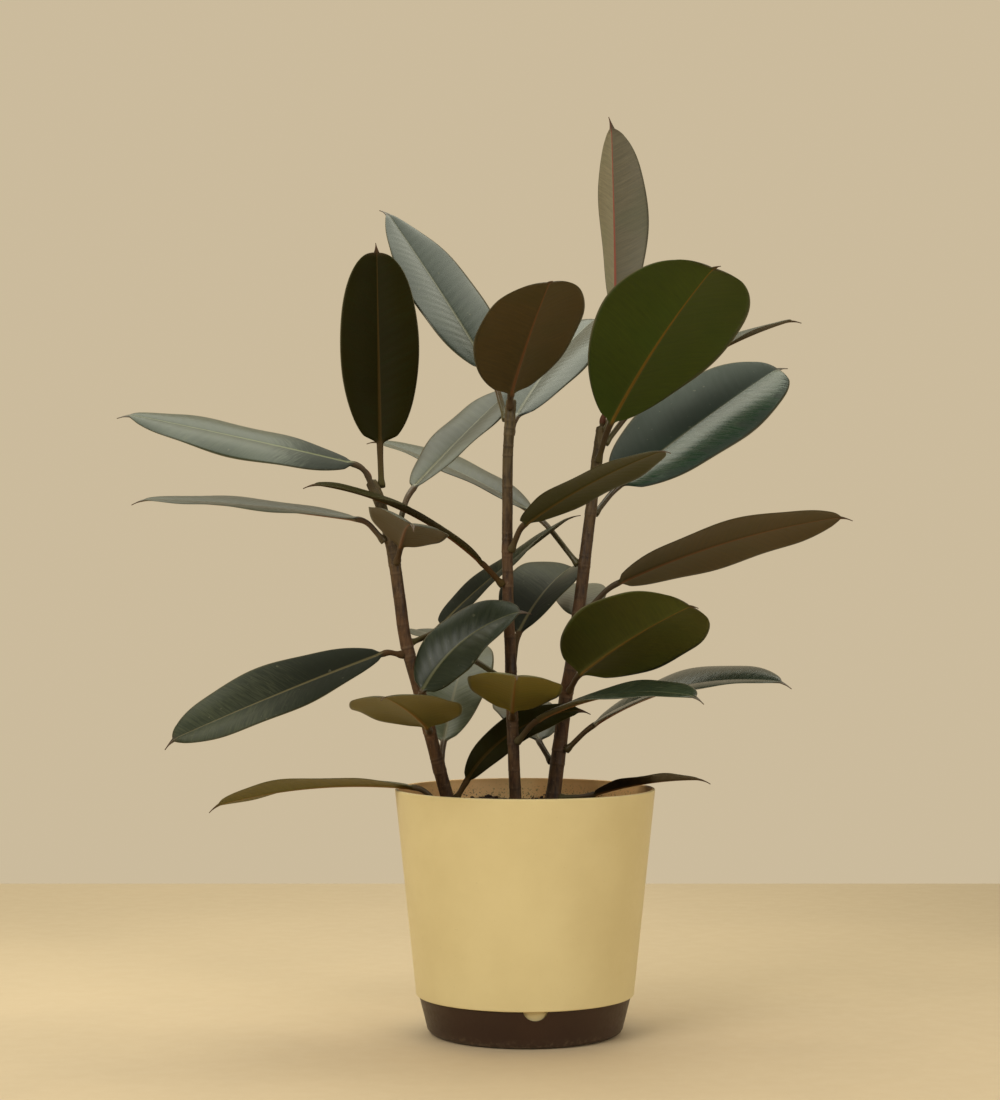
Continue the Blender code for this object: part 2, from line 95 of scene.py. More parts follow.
# a small kit for wiring one material
class Wiring:
    def __init__(self, name):
        self.material = bpy.data.materials.new(name)
        self.material.use_nodes = True
        self.tree = self.material.node_tree
        self.shader = self.tree.nodes["Principled BSDF"]

    def put(self, socket, value):
        if isinstance(value, bpy.types.NodeSocket):
            self.tree.links.new(value, socket)
        elif socket.type == "RGBA":
            socket.default_value = (*value, 1.0)
        else:
            socket.default_value = value

    def node(self, kind, inputs=None, **settings):
        made = self.tree.nodes.new("ShaderNode" + kind)
        for key, value in settings.items():
            setattr(made, key, value)
        for key, value in (inputs or {}).items():
            self.put(made.inputs[key], value)
        return made

    def math(self, operation, first, second=0.0, third=0.0):
        return self.node("Math", {0: first, 1: second, 2: third}, operation=operation).outputs[0]

    def attribute(self, name):
        return self.node("Attribute", attribute_name=name).outputs["Fac"]

    # smooth ramp from 0 to 1 (or low to high) as value goes from start to end
    def ramp(self, value, start, end, low=0.0, high=1.0):
        inputs = {"Value": value, "From Min": start, "From Max": end, "To Min": low, "To Max": high}
        return self.node("MapRange", inputs, interpolation_type="SMOOTHSTEP").outputs["Result"]

    def mix(self, factor, first, second, blend="MIX"):
        made = self.node("Mix", {0: factor, 6: first, 7: second}, data_type="RGBA", blend_type=blend)
        return made.outputs[2]

    def noise(self, vector, scale, detail=3.0, roughness=0.55):
        inputs = {"Vector": vector, "Scale": scale, "Detail": detail, "Roughness": roughness}
        return self.node("TexNoise", inputs).outputs["Fac"]

    def vector(self, x, y, z=0.0):
        return self.node("CombineXYZ", {0: x, 1: y, 2: z}).outputs[0]

    def bump(self, height, strength, distance, normal=None):
        inputs = {"Height": height, "Strength": strength, "Distance": distance}
        if normal is not None:
            inputs["Normal"] = normal
        return self.node("Bump", inputs).outputs["Normal"]

    def set(self, **values):
        for key, value in values.items():
            self.put(self.shader.inputs[key.replace("_", " ")], value)


leafShape = {
    "petioleRadius": 2.15,  # mm
    "bladeThickness": 0.9,
    "ribHeight": 1.5,  # midrib below the blade, at its base
    "ribWidth": 1.3,
    "dripTip": 9.0,
    "dripBend": 32.0,  # degrees
    "basePower": 0.58,  # smaller is a fuller base
    "rippleSpacing": 7.5,  # mm between the swells along the side veins
    "ripple": 0.075,
    "veinLean": 0.53,  # how far a side vein leans forward for each mm outward
    "waves": 2.2,  # waves along each margin
    "waveHeight": 0.9,
    "stalkStations": 16,
    "camber": 0.055,  # bulge of each half, as a share of its width
    "bladeStations": 132,
    "acrossPoints": 37,
}

# name: (stem, height above the soil, heading at the stem, at the blade's base and at its tip as
# (azimuth, elevation), stalk, blade length, blade width, roll at base and tip, fold, tip power, look)
leaves = {
    "left_01": ("left", 234, (100, 72), (100, 82), (102, 84), 30, 143, 58, 0, 0, 14, 0.44, "deep"),
    "left_02": ("left", 199, (58, 66), (50, 38), (50, 33), 39, 139, 52, 0, 0, 8, 0.46, "silver"),
    "left_03": ("left", 228, (-155, 66), (-172, 13), (-174, 11), 27, 163, 61, 27, 27, -5, 0.60, "sage"),
    "left_04": ("left", 197, (-160, 48), (-174, 8), (-174, 2), 23, 153, 58, 10, 10, 4, 0.60, "silver"),
    "left_05": ("left", 180, (-73, 45), (-84, 16), (-84, -6), 16, 130, 58, 20, 20, 6, 0.48, "brown"),
    "left_06": ("left", 121, (46, 16), (46, 38), (-2, 37), 32, 132, 42, -2, -2, 8, 0.56, "dusk"),
    "left_07": ("left", 81, (-100, 26), (0, 63), (-22, 14), 13, 94, 52, -62, -42, 6, 0.58, "forest"),
    "left_08": ("left", 115, (-160, 12), (-172, -20), (-172, -24), 12, 162, 62, 34, 34, 10, 0.56, "dusk"),
    "left_09": ("left", 60, (-94, 14), (-99, 15), (-104, 10), 12, 124, 74, -4, -4, 2, 0.46, "olive"),
    "left_10": ("left", 31, (86, 50), (80, 46), (80, 18), 20, 135, 52, 0, 0, 8, 0.52, "silver"),
    "left_11": ("left", 6, (-160, 44), (-174, 6), (-174, -15), 24, 142, 50, 0, -24, 8, 0.60, "olive"),
    "left_12": ("left", 6, (12, 58), (22, 57), (8, 4), 14, 103, 27, -45, -45, 10, 0.60, "deep"),
    "middle_01": ("middle", 293, (-90, 50), (-78, 34), (-78, 22), 10, 138, 76, -8, -8, 6, 0.50, "brown"),
    "middle_02": ("middle", 285, (120, 62), (142, 54), (142, 50), 40, 160, 63, 18, 18, 6, 0.78, "blue"),
    "middle_03": ("middle", 275, (66, 60), (62, 42), (60, 25), 12, 158, 74, 0, 0, 6, 0.52, "blue"),
    "middle_04": ("middle", 165, (-150, 44), (-154, 40), (-156, 6), 20, 142, 44, 12, 12, 8, 0.60, "deep"),
    "middle_05": ("middle", 190, (-55, 55), (-49, 25), (-49, 12), 23, 146, 58, 0, 0, -4, 0.56, "moss"),
    "middle_06": ("middle", 103, (78, 62), (70, 34), (66, 14), 30, 125, 58, 0, 0, 24, 0.50, "dusk"),
    "middle_07": ("middle", 68, (-90, 24), (-89, 22), (-89, 6), 12, 122, 66, 6, 6, 2, 0.48, "olive"),
    "middle_08": ("middle", 51, (-48, 42), (-42, 24), (-40, -7), 25, 142, 56, -12, -12, 6, 0.56, "sage"),
    "middle_09": ("middle", 95, (155, 30), (122, 20), (122, 6), 36, 80, 42, 0, 0, 8, 0.52, "silver"),
    "right_01": ("right", 180, (155, 50), (152, 30), (152, 16), 54, 148, 58, 6, 6, 8, 0.56, "silver"),
    "right_02": ("right", 130, (86, 35), (84, 18), (84, 8), 20, 112, 40, 0, 0, 8, 0.52, "silver"),
    "right_03": ("right", 43, (-24, 44), (-22, 33), (-22, -6), 26, 150, 66, -14, -14, 8, 0.60, "blue"),
    "right_04": ("right", 7, (-20, 4), (-14, 18), (-14, 0), 25, 80, 42, 10, 10, 8, 0.60, "brown"),
    "right_05": ("right", 258, (-70, 52), (-63, 42), (-63, 27), 32, 172, 102, 16, 16, 5, 0.44, "green"),
    "right_06": ("right", 281, (-5, 81), (-140, 90), (-122, 86), 62, 161, 45, 0, 0, 28, 0.60, "pink"),
    "right_07": ("right", 219, (40, 44), (25, 37), (25, 31), 30, 169, 97, -28, -28, 6, 0.46, "gloss"),
    "right_08": ("right", 272, (24, 50), (19, 40), (19, 17), 36, 148, 58, 0, 0, 8, 0.60, "brown"),
    "right_09": ("right", 145, (-20, 46), (-10, 25), (-10, 8), 31, 172, 76, 22, 22, -3, 0.58, "brown"),
    "right_10": ("right", 86, (-62, 44), (-57, 26), (-57, 16), 18, 142, 86, 26, 26, 6, 0.46, "fern"),
    "right_11": ("right", 33, (132, 48), (100, 24), (100, 4), 20, 106, 50, 0, 0, 8, 0.52, "silver"),
}
otherBasePowers = {"left_01": 0.46, "left_02": 0.64, "left_08": 0.70, "middle_01": 0.56,
                   "right_05": 0.74, "right_06": 0.86, "right_07": 0.50, "right_10": 0.48}
# leaves that are paler or darker than their look; middle_07 is painted paler as painted light, for the
# glow of light through it
leafTones = {"middle_07": 1.5, "left_10": 1.9, "middle_04": 1.6, "right_04": 0.55}

# stems: centre line in mm, heights above the soil, radius at bottom and top
stems = {
    "left": {
        "points": [(-54, -10, 0), (-57, -12, 11), (-66, -20, 45), (-75, -27, 82), (-85.5, -31, 121),
                   (-91, -32, 158), (-96.5, -30, 193), (-106, -26, 226), (-112, -24, 239)],
        "radius": (4.9, 4.1),
    },
    "middle": {
        "points": [(-6, -15, 0), (-7, -15, 10), (-9, -15, 55), (-11, -15, 120), (-12.5, -15, 153),
                   (-13, -15, 201), (-12.5, -15, 259), (-10, -15, 299)],
        "radius": (4.4, 3.7),
    },
    "right": {
        "points": [(20, 24, 0), (21.5, 24, 9), (27, 27, 52), (31.5, 30, 85), (35.5, 32, 108),
                   (41.5, 35, 153), (48.5, 38, 210), (54, 38, 255), (58, 38, 283)],
        "radius": (5.7, 3.9),
    },
}
stemDetail = {
    "rootDepth": 27.0,  # mm below the soil
    "nodeSwell": 1.05,
    "ringStep": 0.8,  # mm between rings of points
    "sides": 28,
    "scarSpacing": 12.5,  # mm between old leaf scars
    "scarHeight": 0.24,
    "budLength": 12.0,
    "budRings": 15,
}
soilHeight = 163.0  # mm


# a smooth curve through the points, as Catmull and Rom's cubic between each two of them
def smoothCurve(points, perSpan):
    ends = np.vstack([points[:1], points, points[-1:]])
    t = np.linspace(0.0, len(points) - 1, perSpan * (len(points) - 1) + 1)
    i = np.minimum(t.astype(int), len(points) - 2)
    f = (t - i)[:, None]
    p0, p1, p2, p3 = ends[i], ends[i + 1], ends[i + 2], ends[i + 3]
    return 0.5 * (2 * p1 + (p2 - p0) * f + (2 * p0 - 5 * p1 + 4 * p2 - p3) * f ** 2
                  + (3 * p1 - p0 - 3 * p2 + p3) * f ** 3)


def stemLine(name):
    points = np.array(stems[name]["points"], dtype=float)
    points = np.vstack([points[0] - (0.0, 0.0, stemDetail["rootDepth"]), points])
    points[:, 2] += soilHeight
    line = smoothCurve(points, 8)
    low, high = stems[name]["radius"]
    share = (line[:, 2] - line[0, 2]) / (line[-1, 2] - line[0, 2])
    return line, low + (high - low) * share


# place, direction and radius of a stem at a height, in mm
def stemAt(name, height):
    line, radii = stemLine(name)
    place = np.array([np.interp(height, line[:, 2], line[:, k]) for k in range(3)])
    i = int(np.clip(np.searchsorted(line[:, 2], height), 1, len(line) - 1))
    along = line[i] - line[i - 1]
    return place, along / np.linalg.norm(along), float(np.interp(height, line[:, 2], radii))


def heading(azimuth, elevation):
    a = np.radians(azimuth)
    e = np.radians(elevation)
    return np.stack([np.cos(e) * np.cos(a), np.cos(e) * np.sin(a), np.sin(e)], axis=-1)


def smoothStep(value):
    value = np.clip(value, 0.0, 1.0)
    return value * value * (3.0 - 2.0 * value)


# centre line of one leaf: its heading is turned along the stalk and the blade, then summed up
def leafLine(start, stalk, blade, atStem, atBase, atTip):
    total = stalk + blade + leafShape["dripTip"]
    s = np.linspace(0.0, total, 400)
    p = smoothStep((s / stalk - 0.45) / 0.65)
    u = np.clip((s - stalk) / blade, 0.0, 1.0)
    drip = np.clip((s - stalk - blade * 0.96) / (total - stalk - blade * 0.96), 0.0, 1.0)
    azimuth = atStem[0] + (atBase[0] - atStem[0]) * p + (atTip[0] - atBase[0]) * u
    elevation = atStem[1] + (atBase[1] - atStem[1]) * p + (atTip[1] - atBase[1]) * u
    elevation = elevation - leafShape["dripBend"] * drip
    step = heading(azimuth, elevation)
    moves = 0.5 * (step[1:] + step[:-1]) * (s[1] - s[0])
    line = start + np.vstack([np.zeros(3), np.cumsum(moves, axis=0)])
    return s, line, azimuth, elevation


# half width of the blade along its length, 1 at the widest: u to one power times (1 - u) to another
def bladeOutline(u, base, tipPower):
    u = np.clip(u, 0.0, 1.0)
    widest = base / (base + tipPower)
    return u ** base * (1.0 - u) ** tipPower / (widest ** base * (1.0 - widest) ** tipPower)


# One leaf as a closed tube: a round stalk that flattens into a blade. Across the blade the height is
# the fold (slope times distance from the midrib), the camber (a sine over each half), a wave that
# grows to the margin, the swells along the side veins, and half the thickness up or down, with a
# round rib below.
def makeLeaf(name, index):
    (stem, height, atStem, atBase, atTip, stalk, length, width,
     rollBase, rollTip, fold, tipPower, look) = leaves[name]
    place, along, stemRadius = stemAt(stem, soilHeight + height)
    first = heading(atStem[0], atStem[1])
    out = first - along * np.dot(first, along)
    square = np.linalg.norm(out)
    radius = leafShape["petioleRadius"]
    seat = stemRadius * stemDetail["nodeSwell"] + 0.3 + 0.92 * radius * math.sqrt(1.0 - square ** 2)
    start = place + out / square * seat
    s, line, azimuth, elevation = leafLine(start, stalk, length, atStem, atBase, atTip)

    stations = np.concatenate([
        [-2.2, -1.0],  # sinks into the stem's bark
        stalk * np.linspace(0.0, 0.94, leafShape["stalkStations"]),
        stalk + length * (1.0 - np.cos(np.linspace(0.0, math.pi, leafShape["bladeStations"]))) * 0.5,
        stalk + length + leafShape["dripTip"] * np.linspace(0.12, 1.0, 9),
    ])
    inside = np.clip(stations, 0.0, None)
    centre = np.stack([np.interp(inside, s, line[:, k]) for k in range(3)], axis=-1)
    a = np.interp(inside, s, azimuth)
    e = np.interp(inside, s, elevation)
    ahead = heading(a, e)
    centre += np.minimum(stations, 0.0)[:, None] * first
    u = (stations - stalk) / length
    share = np.clip(u, 0.0, 1.0)
    side = np.stack([np.sin(np.radians(a)), -np.cos(np.radians(a)), np.zeros_like(a)], axis=-1)
    normal = np.cross(side, ahead)
    roll = np.radians(rollBase + (rollTip - rollBase) * share) * np.clip(inside / stalk, 0.0, 1.0) ** 2
    side, normal = (side * np.cos(roll)[:, None] + normal * np.sin(roll)[:, None],
                    normal * np.cos(roll)[:, None] - side * np.sin(roll)[:, None])

    # half width, with a tip that draws out into the drip end
    left = np.clip(stalk + length + leafShape["dripTip"] - stations, 0.0, None)
    tip = 0.25 + 4.0 * np.clip(left / 14.0, 0.0, 1.0) ** 1.7
    basePower = otherBasePowers.get(name, leafShape["basePower"])
    reach = 0.5 * width * bladeOutline(u, basePower, tipPower)
    reach = (reach ** 4 + np.where(u > 0.5, tip, 0.9) ** 4) ** 0.25
    flat = smoothStep(u / 0.045)[:, None]

    count = leafShape["acrossPoints"]
    q = np.linspace(-1.0, 1.0, count)
    v = (np.sign(q) * np.abs(q) ** 1.35)[None, :]
    x = reach[:, None] * v
    mv = np.abs(v)
    rise = math.tan(math.radians(fold))
    lift = reach[:, None] * rise * (np.sqrt(mv ** 2 + 0.0009) - 0.03)
    lift = lift + reach[:, None] * leafShape["camber"] * np.sin(math.pi * mv)
    phase = 1.7 * index + np.where(v > 0, 0.9, 0.0)
    swing = smoothStep(share * 3.0) * smoothStep((1.0 - share) * 4.0)
    lift = lift + leafShape["waveHeight"] * mv ** 3 * swing[:, None] * np.sin(
        2.0 * math.pi * leafShape["waves"] * share[:, None] + phase)
    veinPlace = (stations - stalk)[:, None] - leafShape["veinLean"] * np.abs(x)
    calm = np.sin(math.pi * mv ** 0.8) * swing[:, None]
    phase = 2.0 * math.pi * veinPlace / leafShape["rippleSpacing"] + 0.8 * np.sin(index + veinPlace / 17.0)
    lift = lift + leafShape["ripple"] * calm * np.sin(phase)
    thick = 0.5 * leafShape["bladeThickness"] * np.sqrt(np.clip(1.0 - mv ** 6, 0.0, 1.0))
    thick = thick * np.clip(left / 8.0, 0.45, 1.0)[:, None]
    ribWidth = leafShape["ribWidth"] * (1.15 - 0.75 * share)[:, None]
    rib = leafShape["ribHeight"] * (1.0 - 0.8 * share)[:, None] * np.exp(-(x / ribWidth) ** 2)
    groove = 0.3 * (1.0 - 0.7 * share)[:, None] * np.exp(-(x / (0.8 * ribWidth)) ** 2)
    upperZ = lift + thick - groove
    lowerZ = lift - thick - rib

    # round stalk with a shallow channel on top and a foot that spreads on the stem
    angle = math.pi * (1.0 - (q + 1.0) / 2.0)[None, :]
    stalkRadius = radius * (1.0 + 0.35 * np.exp(-(inside / 2.4) ** 2)
                            + 0.12 * smoothStep((inside / stalk - 0.6) / 0.4))[:, None]
    roundX = stalkRadius * np.cos(angle)
    roundZ = stalkRadius * np.sin(angle)
    channel = 0.3 * radius * np.exp(-(roundX / (0.5 * radius)) ** 2)
    channel = channel * smoothStep(inside / stalk * 4.0)[:, None]
    xs = roundX * (1.0 - flat) + x * flat
    zUpper = (roundZ - channel) * (1.0 - flat) + upperZ * flat
    zLower = -roundZ * (1.0 - flat) + lowerZ * flat
    xRing = np.concatenate([xs, xs[:, -2:0:-1]], axis=1)
    zRing = np.concatenate([zUpper, zLower[:, -2:0:-1]], axis=1)
    rings = (centre[:, None, :] + side[:, None, :] * xRing[:, :, None]
             + normal[:, None, :] * zRing[:, :, None])
    rings = rings[:, ::-1] * mm

    quads, fans = tubeFaces(len(stations), rings.shape[1])
    piece = makeObject("leaf" + name.title().replace("_", ""), withEnds(rings), quads, fans)

    ringSize = rings.shape[1]
    acrossRing = np.concatenate([v[0], v[0, -2:0:-1]])[::-1]
    upperRing = np.concatenate([np.ones(count), np.zeros(count - 2)])[::-1]
    upperRing[[ringSize - 1, ringSize - count]] = 0.5  # half way at the two margins

    # a value for each ring, or for each point round a ring, given to every point and the two ends
    def forPoints(values):
        grid = np.broadcast_to(values, (len(stations), ringSize))
        return np.concatenate([grid.ravel(), [grid[0].mean(), grid[-1].mean()]])

    addAttribute(piece, "along", forPoints(u[:, None]))
    addAttribute(piece, "across", forPoints(acrossRing))
    addAttribute(piece, "upper", forPoints(upperRing))
    flatX = np.concatenate([xRing[:, ::-1].ravel(), [0.0, 0.0]])
    flatS = forPoints((stations - stalk)[:, None])
    addMap(piece, "veinMap", np.stack([flatS / 100.0 + 3.0 * index, flatX / 100.0], axis=-1))
    finishPiece(piece, leafSkins[look, leafTones.get(name, 1.0)], "leaf", "leaf_" + name)


# what differs between leaves: upper side, its bloom (partly painted sheen), lower side, midrib above and
# below; shadeSide paints shade over one half of the upper side and a jagged band by its margin, shadeBase
# paints shade over its base, and backSides sets the lower halves apart
leafLooks = {
    "deep": dict(top=(0.014, 0.011, 0.0004), bloomAndSheen=(0.013, 0.014, 0.002), back=(0.030, 0.024, 0.007),
                 rib=(0.045, 0.027, 0.005), ribBack=(0.12, 0.045, 0.015), rough=0.50, shine=0.05,
                 specks=0.0),
    "dusk": dict(top=(0.016, 0.022, 0.008), bloomAndSheen=(0.050, 0.056, 0.025), back=(0.060, 0.052, 0.020),
                 rib=(0.12, 0.10, 0.045), ribBack=(0.16, 0.08, 0.03), rough=0.38, shine=0.20,
                 shadeBase=(0.30, 0.80)),
    "gloss": dict(top=(0.010, 0.040, 0.018), bloomAndSheen=(0.075, 0.092, 0.058), back=(0.065, 0.047, 0.020),
                  rib=(0.11, 0.11, 0.065), ribBack=(0.20, 0.07, 0.03), rough=0.24, shine=0.46,
                  shadeSide=-1),
    "forest": dict(top=(0.013, 0.020, 0.009), bloomAndSheen=(0.030, 0.038, 0.018), back=(0.060, 0.052, 0.020),
                   rib=(0.11, 0.11, 0.05), ribBack=(0.16, 0.08, 0.03), rough=0.34, shine=0.30),
    "silver": dict(top=(0.036, 0.043, 0.024), bloomAndSheen=(0.075, 0.082, 0.048), back=(0.100, 0.080, 0.032),
                   rib=(0.17, 0.16, 0.09), ribBack=(0.22, 0.10, 0.05), rough=0.36, shine=0.5),
    "sage": dict(top=(0.020, 0.032, 0.016), bloomAndSheen=(0.050, 0.064, 0.036), back=(0.080, 0.066, 0.024),
                 rib=(0.16, 0.17, 0.085), ribBack=(0.18, 0.09, 0.03), rough=0.30, shine=0.45,
                 shadeBase=(0.16, 0.40)),
    "blue": dict(top=(0.013, 0.023, 0.014), bloomAndSheen=(0.034, 0.046, 0.030), back=(0.065, 0.047, 0.020),
                 rib=(0.11, 0.11, 0.065), ribBack=(0.20, 0.07, 0.03), rough=0.24, shine=0.55),
    # olive: lower side painted yellower and paler as painted light, for the glow of light through the leaf
    "olive": dict(top=(0.060, 0.060, 0.018), bloomAndSheen=(0.090, 0.082, 0.030), back=(0.120, 0.098, 0.018),
                  rib=(0.20, 0.16, 0.06), ribBack=(0.20, 0.11, 0.02), rough=0.42, shine=0.4),
    "brown": dict(top=(0.020, 0.023, 0.010), bloomAndSheen=(0.038, 0.042, 0.022), back=(0.078, 0.053, 0.014),
                  rib=(0.13, 0.09, 0.04), ribBack=(0.16, 0.070, 0.022), rough=0.45, shine=0.4),
    "moss": dict(top=(0.020, 0.023, 0.010), bloomAndSheen=(0.038, 0.042, 0.022), back=(0.056, 0.054, 0.012),
                 rib=(0.13, 0.09, 0.04), ribBack=(0.13, 0.085, 0.018), rough=0.45, shine=0.4),
    "green": dict(top=(0.020, 0.028, 0.012), bloomAndSheen=(0.040, 0.048, 0.028), back=(0.046, 0.068, 0.004),
                  rib=(0.14, 0.12, 0.05), ribBack=(0.18, 0.100, 0.008), rough=0.42, shine=0.35),
    # fern: lower side painted yellower and paler as painted light, for the glow of light through the leaf
    "fern": dict(top=(0.020, 0.028, 0.012), bloomAndSheen=(0.040, 0.048, 0.028), back=(0.082, 0.086, 0.013),
                 rib=(0.14, 0.12, 0.05), ribBack=(0.19, 0.115, 0.018), rough=0.42, shine=0.35),
    "pink": dict(top=(0.020, 0.026, 0.014), bloomAndSheen=(0.045, 0.048, 0.032), back=(0.175, 0.150, 0.088),
                 rib=(0.14, 0.10, 0.05), ribBack=(0.24, 0.060, 0.032), rough=0.42, shine=0.45,
                 backSides=(0.66, 1.12)),
}


# what all leaves share; lengths are on a map in units of 100 mm
skinDetail = {
    "lineSpacing": 0.052,  # between the side veins
    "ribHalf": (0.015, 0.004),  # half the midrib's width at base and tip
    "speckShare": 0.25,
    "speckColour": (0.20, 0.19, 0.12),
    "marginColour": (0.22, 0.19, 0.10),
    "stalkAtStem": (0.074, 0.062, 0.018),
    "stalkAtBlade": (0.070, 0.036, 0.013),
    "stalkBlotch": (0.055, 0.045, 0.020),
    "tipColour": (0.070, 0.035, 0.020),
    "shadeDark": 0.4,
}


# where painted shade darkens the upper side and makes it rougher, as a share, or None
def leafShade(w, look, along, across, streak, broad):
    unevenness = w.math("SUBTRACT", streak, 0.5)
    # painted shade over one half, where the other half catches a reflection, with a jagged band near the
    # margin
    if "shadeSide" in look:
        outward = w.math("MULTIPLY", across, look["shadeSide"])
        jagged = w.math("MULTIPLY_ADD", unevenness, 1.5, w.math("ABSOLUTE", across))
        jagged = w.math("MULTIPLY_ADD", w.math("SUBTRACT", broad, 0.5), 0.5, jagged)
        return w.math("MAXIMUM", w.ramp(outward, 0.0, 0.05), w.ramp(jagged, 0.74, 0.84))
    # painted shade over the leaf's base
    if "shadeBase" in look:
        start, end = look["shadeBase"]
        return w.ramp(w.math("MULTIPLY_ADD", unevenness, 0.5, along), start, end, 1.0, 0.0)
    return None


# leaf skin: streaks and fine lines follow the side veins, which lean forward from the midrib
def leafSkin(name, look, tone):
    w = Wiring("leaf skin " + name)
    d = skinDetail
    topColour, bloomAndSheenColour, backColour = [np.array(look[key]) * tone for key in ("top", "bloomAndSheen", "back")]
    place = w.node("SeparateXYZ", {0: w.node("UVMap", uv_map="veinMap").outputs["UV"]})
    s, x = place.outputs[0], place.outputs[1]
    away = w.math("ABSOLUTE", x)
    along, across, upper = w.attribute("along"), w.attribute("across"), w.attribute("upper")
    vein = w.math("MULTIPLY_ADD", away, -leafShape["veinLean"], s)
    vein = w.math("MULTIPLY_ADD", w.noise(w.vector(s, x), 5.0, 2.0), 0.03, vein)
    fineSpot = w.vector(w.math("MULTIPLY", vein, 95.0), w.math("MULTIPLY", x, 7.0))
    streak = w.noise(fineSpot, 1.0, 4.0, 0.62)
    broadSpot = w.vector(w.math("MULTIPLY", vein, 14.0), w.math("MULTIPLY", x, 4.0))
    broad = w.noise(broadSpot, 1.0, 2.0)
    lines = w.math("COSINE", w.math("MULTIPLY", vein, 2.0 * math.pi / d["lineSpacing"]))
    lines = w.math("POWER", w.math("MULTIPLY_ADD", lines, 0.5, 0.5), 7.0)
    spot = w.node("TexCoord").outputs["Object"]
    blotch = w.noise(spot, 26.0, 3.0)
    dust = w.noise(spot, 900.0, 2.0)
    specks = w.noise(spot, 260.0, 1.0)

    ribEdge = w.ramp(along, 0.0, 1.0, *d["ribHalf"])
    onRib = w.ramp(w.math("DIVIDE", away, ribEdge), 0.55, 1.15, 1.0, 0.0)
    margin = w.ramp(w.math("ABSOLUTE", across), 0.965, 0.995)
    onStalk = w.ramp(along, -0.005, 0.03, 1.0, 0.0)
    tip = w.ramp(along, 0.97, 1.03)
    shade = leafShade(w, look, along, across, streak, broad)

    # bloom and painted sheen: lighter streaks along the side veins, partly the leaf's own mottling and
    # partly painted sheen
    bloomAndSheenShare = w.math("MULTIPLY", w.ramp(streak, 0.36, 0.66), w.ramp(broad, 0.30, 0.72, 0.45, 1.0))
    top = w.mix(bloomAndSheenShare, topColour, bloomAndSheenColour)
    darker = w.math("MULTIPLY", w.ramp(blotch, 0.45, 0.75), 0.35)
    top = w.mix(darker, top, topColour * 0.62)
    # painted shade on the upper side, from leafShade
    if shade is not None:
        top = w.mix(w.math("MULTIPLY", shade, 0.9), top, topColour * d["shadeDark"])
    speck = w.math("MULTIPLY", w.ramp(specks, 0.72, 0.78), look.get("specks", d["speckShare"]))
    top = w.mix(speck, top, d["speckColour"])
    top = w.mix(w.math("MULTIPLY", onRib, 0.85), top, look["rib"])

    back = w.mix(w.ramp(streak, 0.30, 0.70), backColour * 0.80, backColour * 1.12)
    back = w.mix(w.math("MULTIPLY", lines, 0.13), back, backColour * 1.6)
    greener = w.math("MULTIPLY", w.ramp(blotch, 0.4, 0.7), 0.4)
    back = w.mix(greener, back, backColour * (0.75, 0.95, 0.8))
    if "backSides" in look:
        share = w.ramp(across, -0.03, 0.03, *look["backSides"])
        grey = w.node("CombineColor", {0: share, 1: share, 2: share}).outputs[0]
        back = w.mix(1.0, back, grey, "MULTIPLY")
    back = w.mix(onRib, back, look["ribBack"])

    skin = w.mix(upper, back, top)
    skin = w.mix(w.math("MULTIPLY", margin, 0.6), skin, d["marginColour"])
    stalkSkin = w.mix(w.ramp(along, -0.24, -0.06), d["stalkAtStem"], d["stalkAtBlade"])
    stalkSkin = w.mix(w.ramp(blotch, 0.35, 0.65, 0.0, 0.5), stalkSkin, d["stalkBlotch"])
    skin = w.mix(onStalk, skin, stalkSkin)
    skin = w.mix(w.math("MULTIPLY", tip, 0.8), skin, d["tipColour"])

    rough = w.ramp(streak, 0.25, 0.75, look["rough"] - 0.05, look["rough"] + 0.08)
    rough = w.math("MULTIPLY_ADD", w.math("SUBTRACT", 1.0, upper), 0.12, rough)
    rough = w.math("MULTIPLY_ADD", dust, 0.06, rough)
    if shade is not None:
        rough = w.math("MULTIPLY_ADD", shade, 0.34, rough)
    relief = w.math("MULTIPLY_ADD", lines, 0.35, w.math("MULTIPLY", streak, 0.8))
    relief = w.math("MULTIPLY", relief, w.math("SUBTRACT", 1.0, onRib))
    normal = w.bump(dust, 0.03, 0.0002, w.bump(relief, 0.07, 0.0004))
    w.set(Base_Color=skin, Roughness=rough, Normal=normal, IOR=1.47, Specular_IOR_Level=look["shine"])
    return w.material


leafSkins = {}
for name, row in leaves.items():
    look, tone = row[-1], leafTones.get(name, 1.0)
    if (look, tone) not in leafSkins:
        leafSkins[look, tone] = leafSkin(look + " " + str(tone), leafLooks[look], tone)
for index, name in enumerate(leaves):
    makeLeaf(name, index)
print("leaves made:", len(leaves))


barkColours = dict(
    dark=(0.030, 0.014, 0.006), light=(0.094, 0.050, 0.020), patch=(0.138, 0.066, 0.028),
    youngDark=(0.050, 0.034, 0.012), youngLight=(0.112, 0.082, 0.032), dots=(0.17, 0.12, 0.075),
    scar=(0.17, 0.115, 0.070), crease=(0.020, 0.012, 0.007), bud=(0.135, 0.050, 0.026))


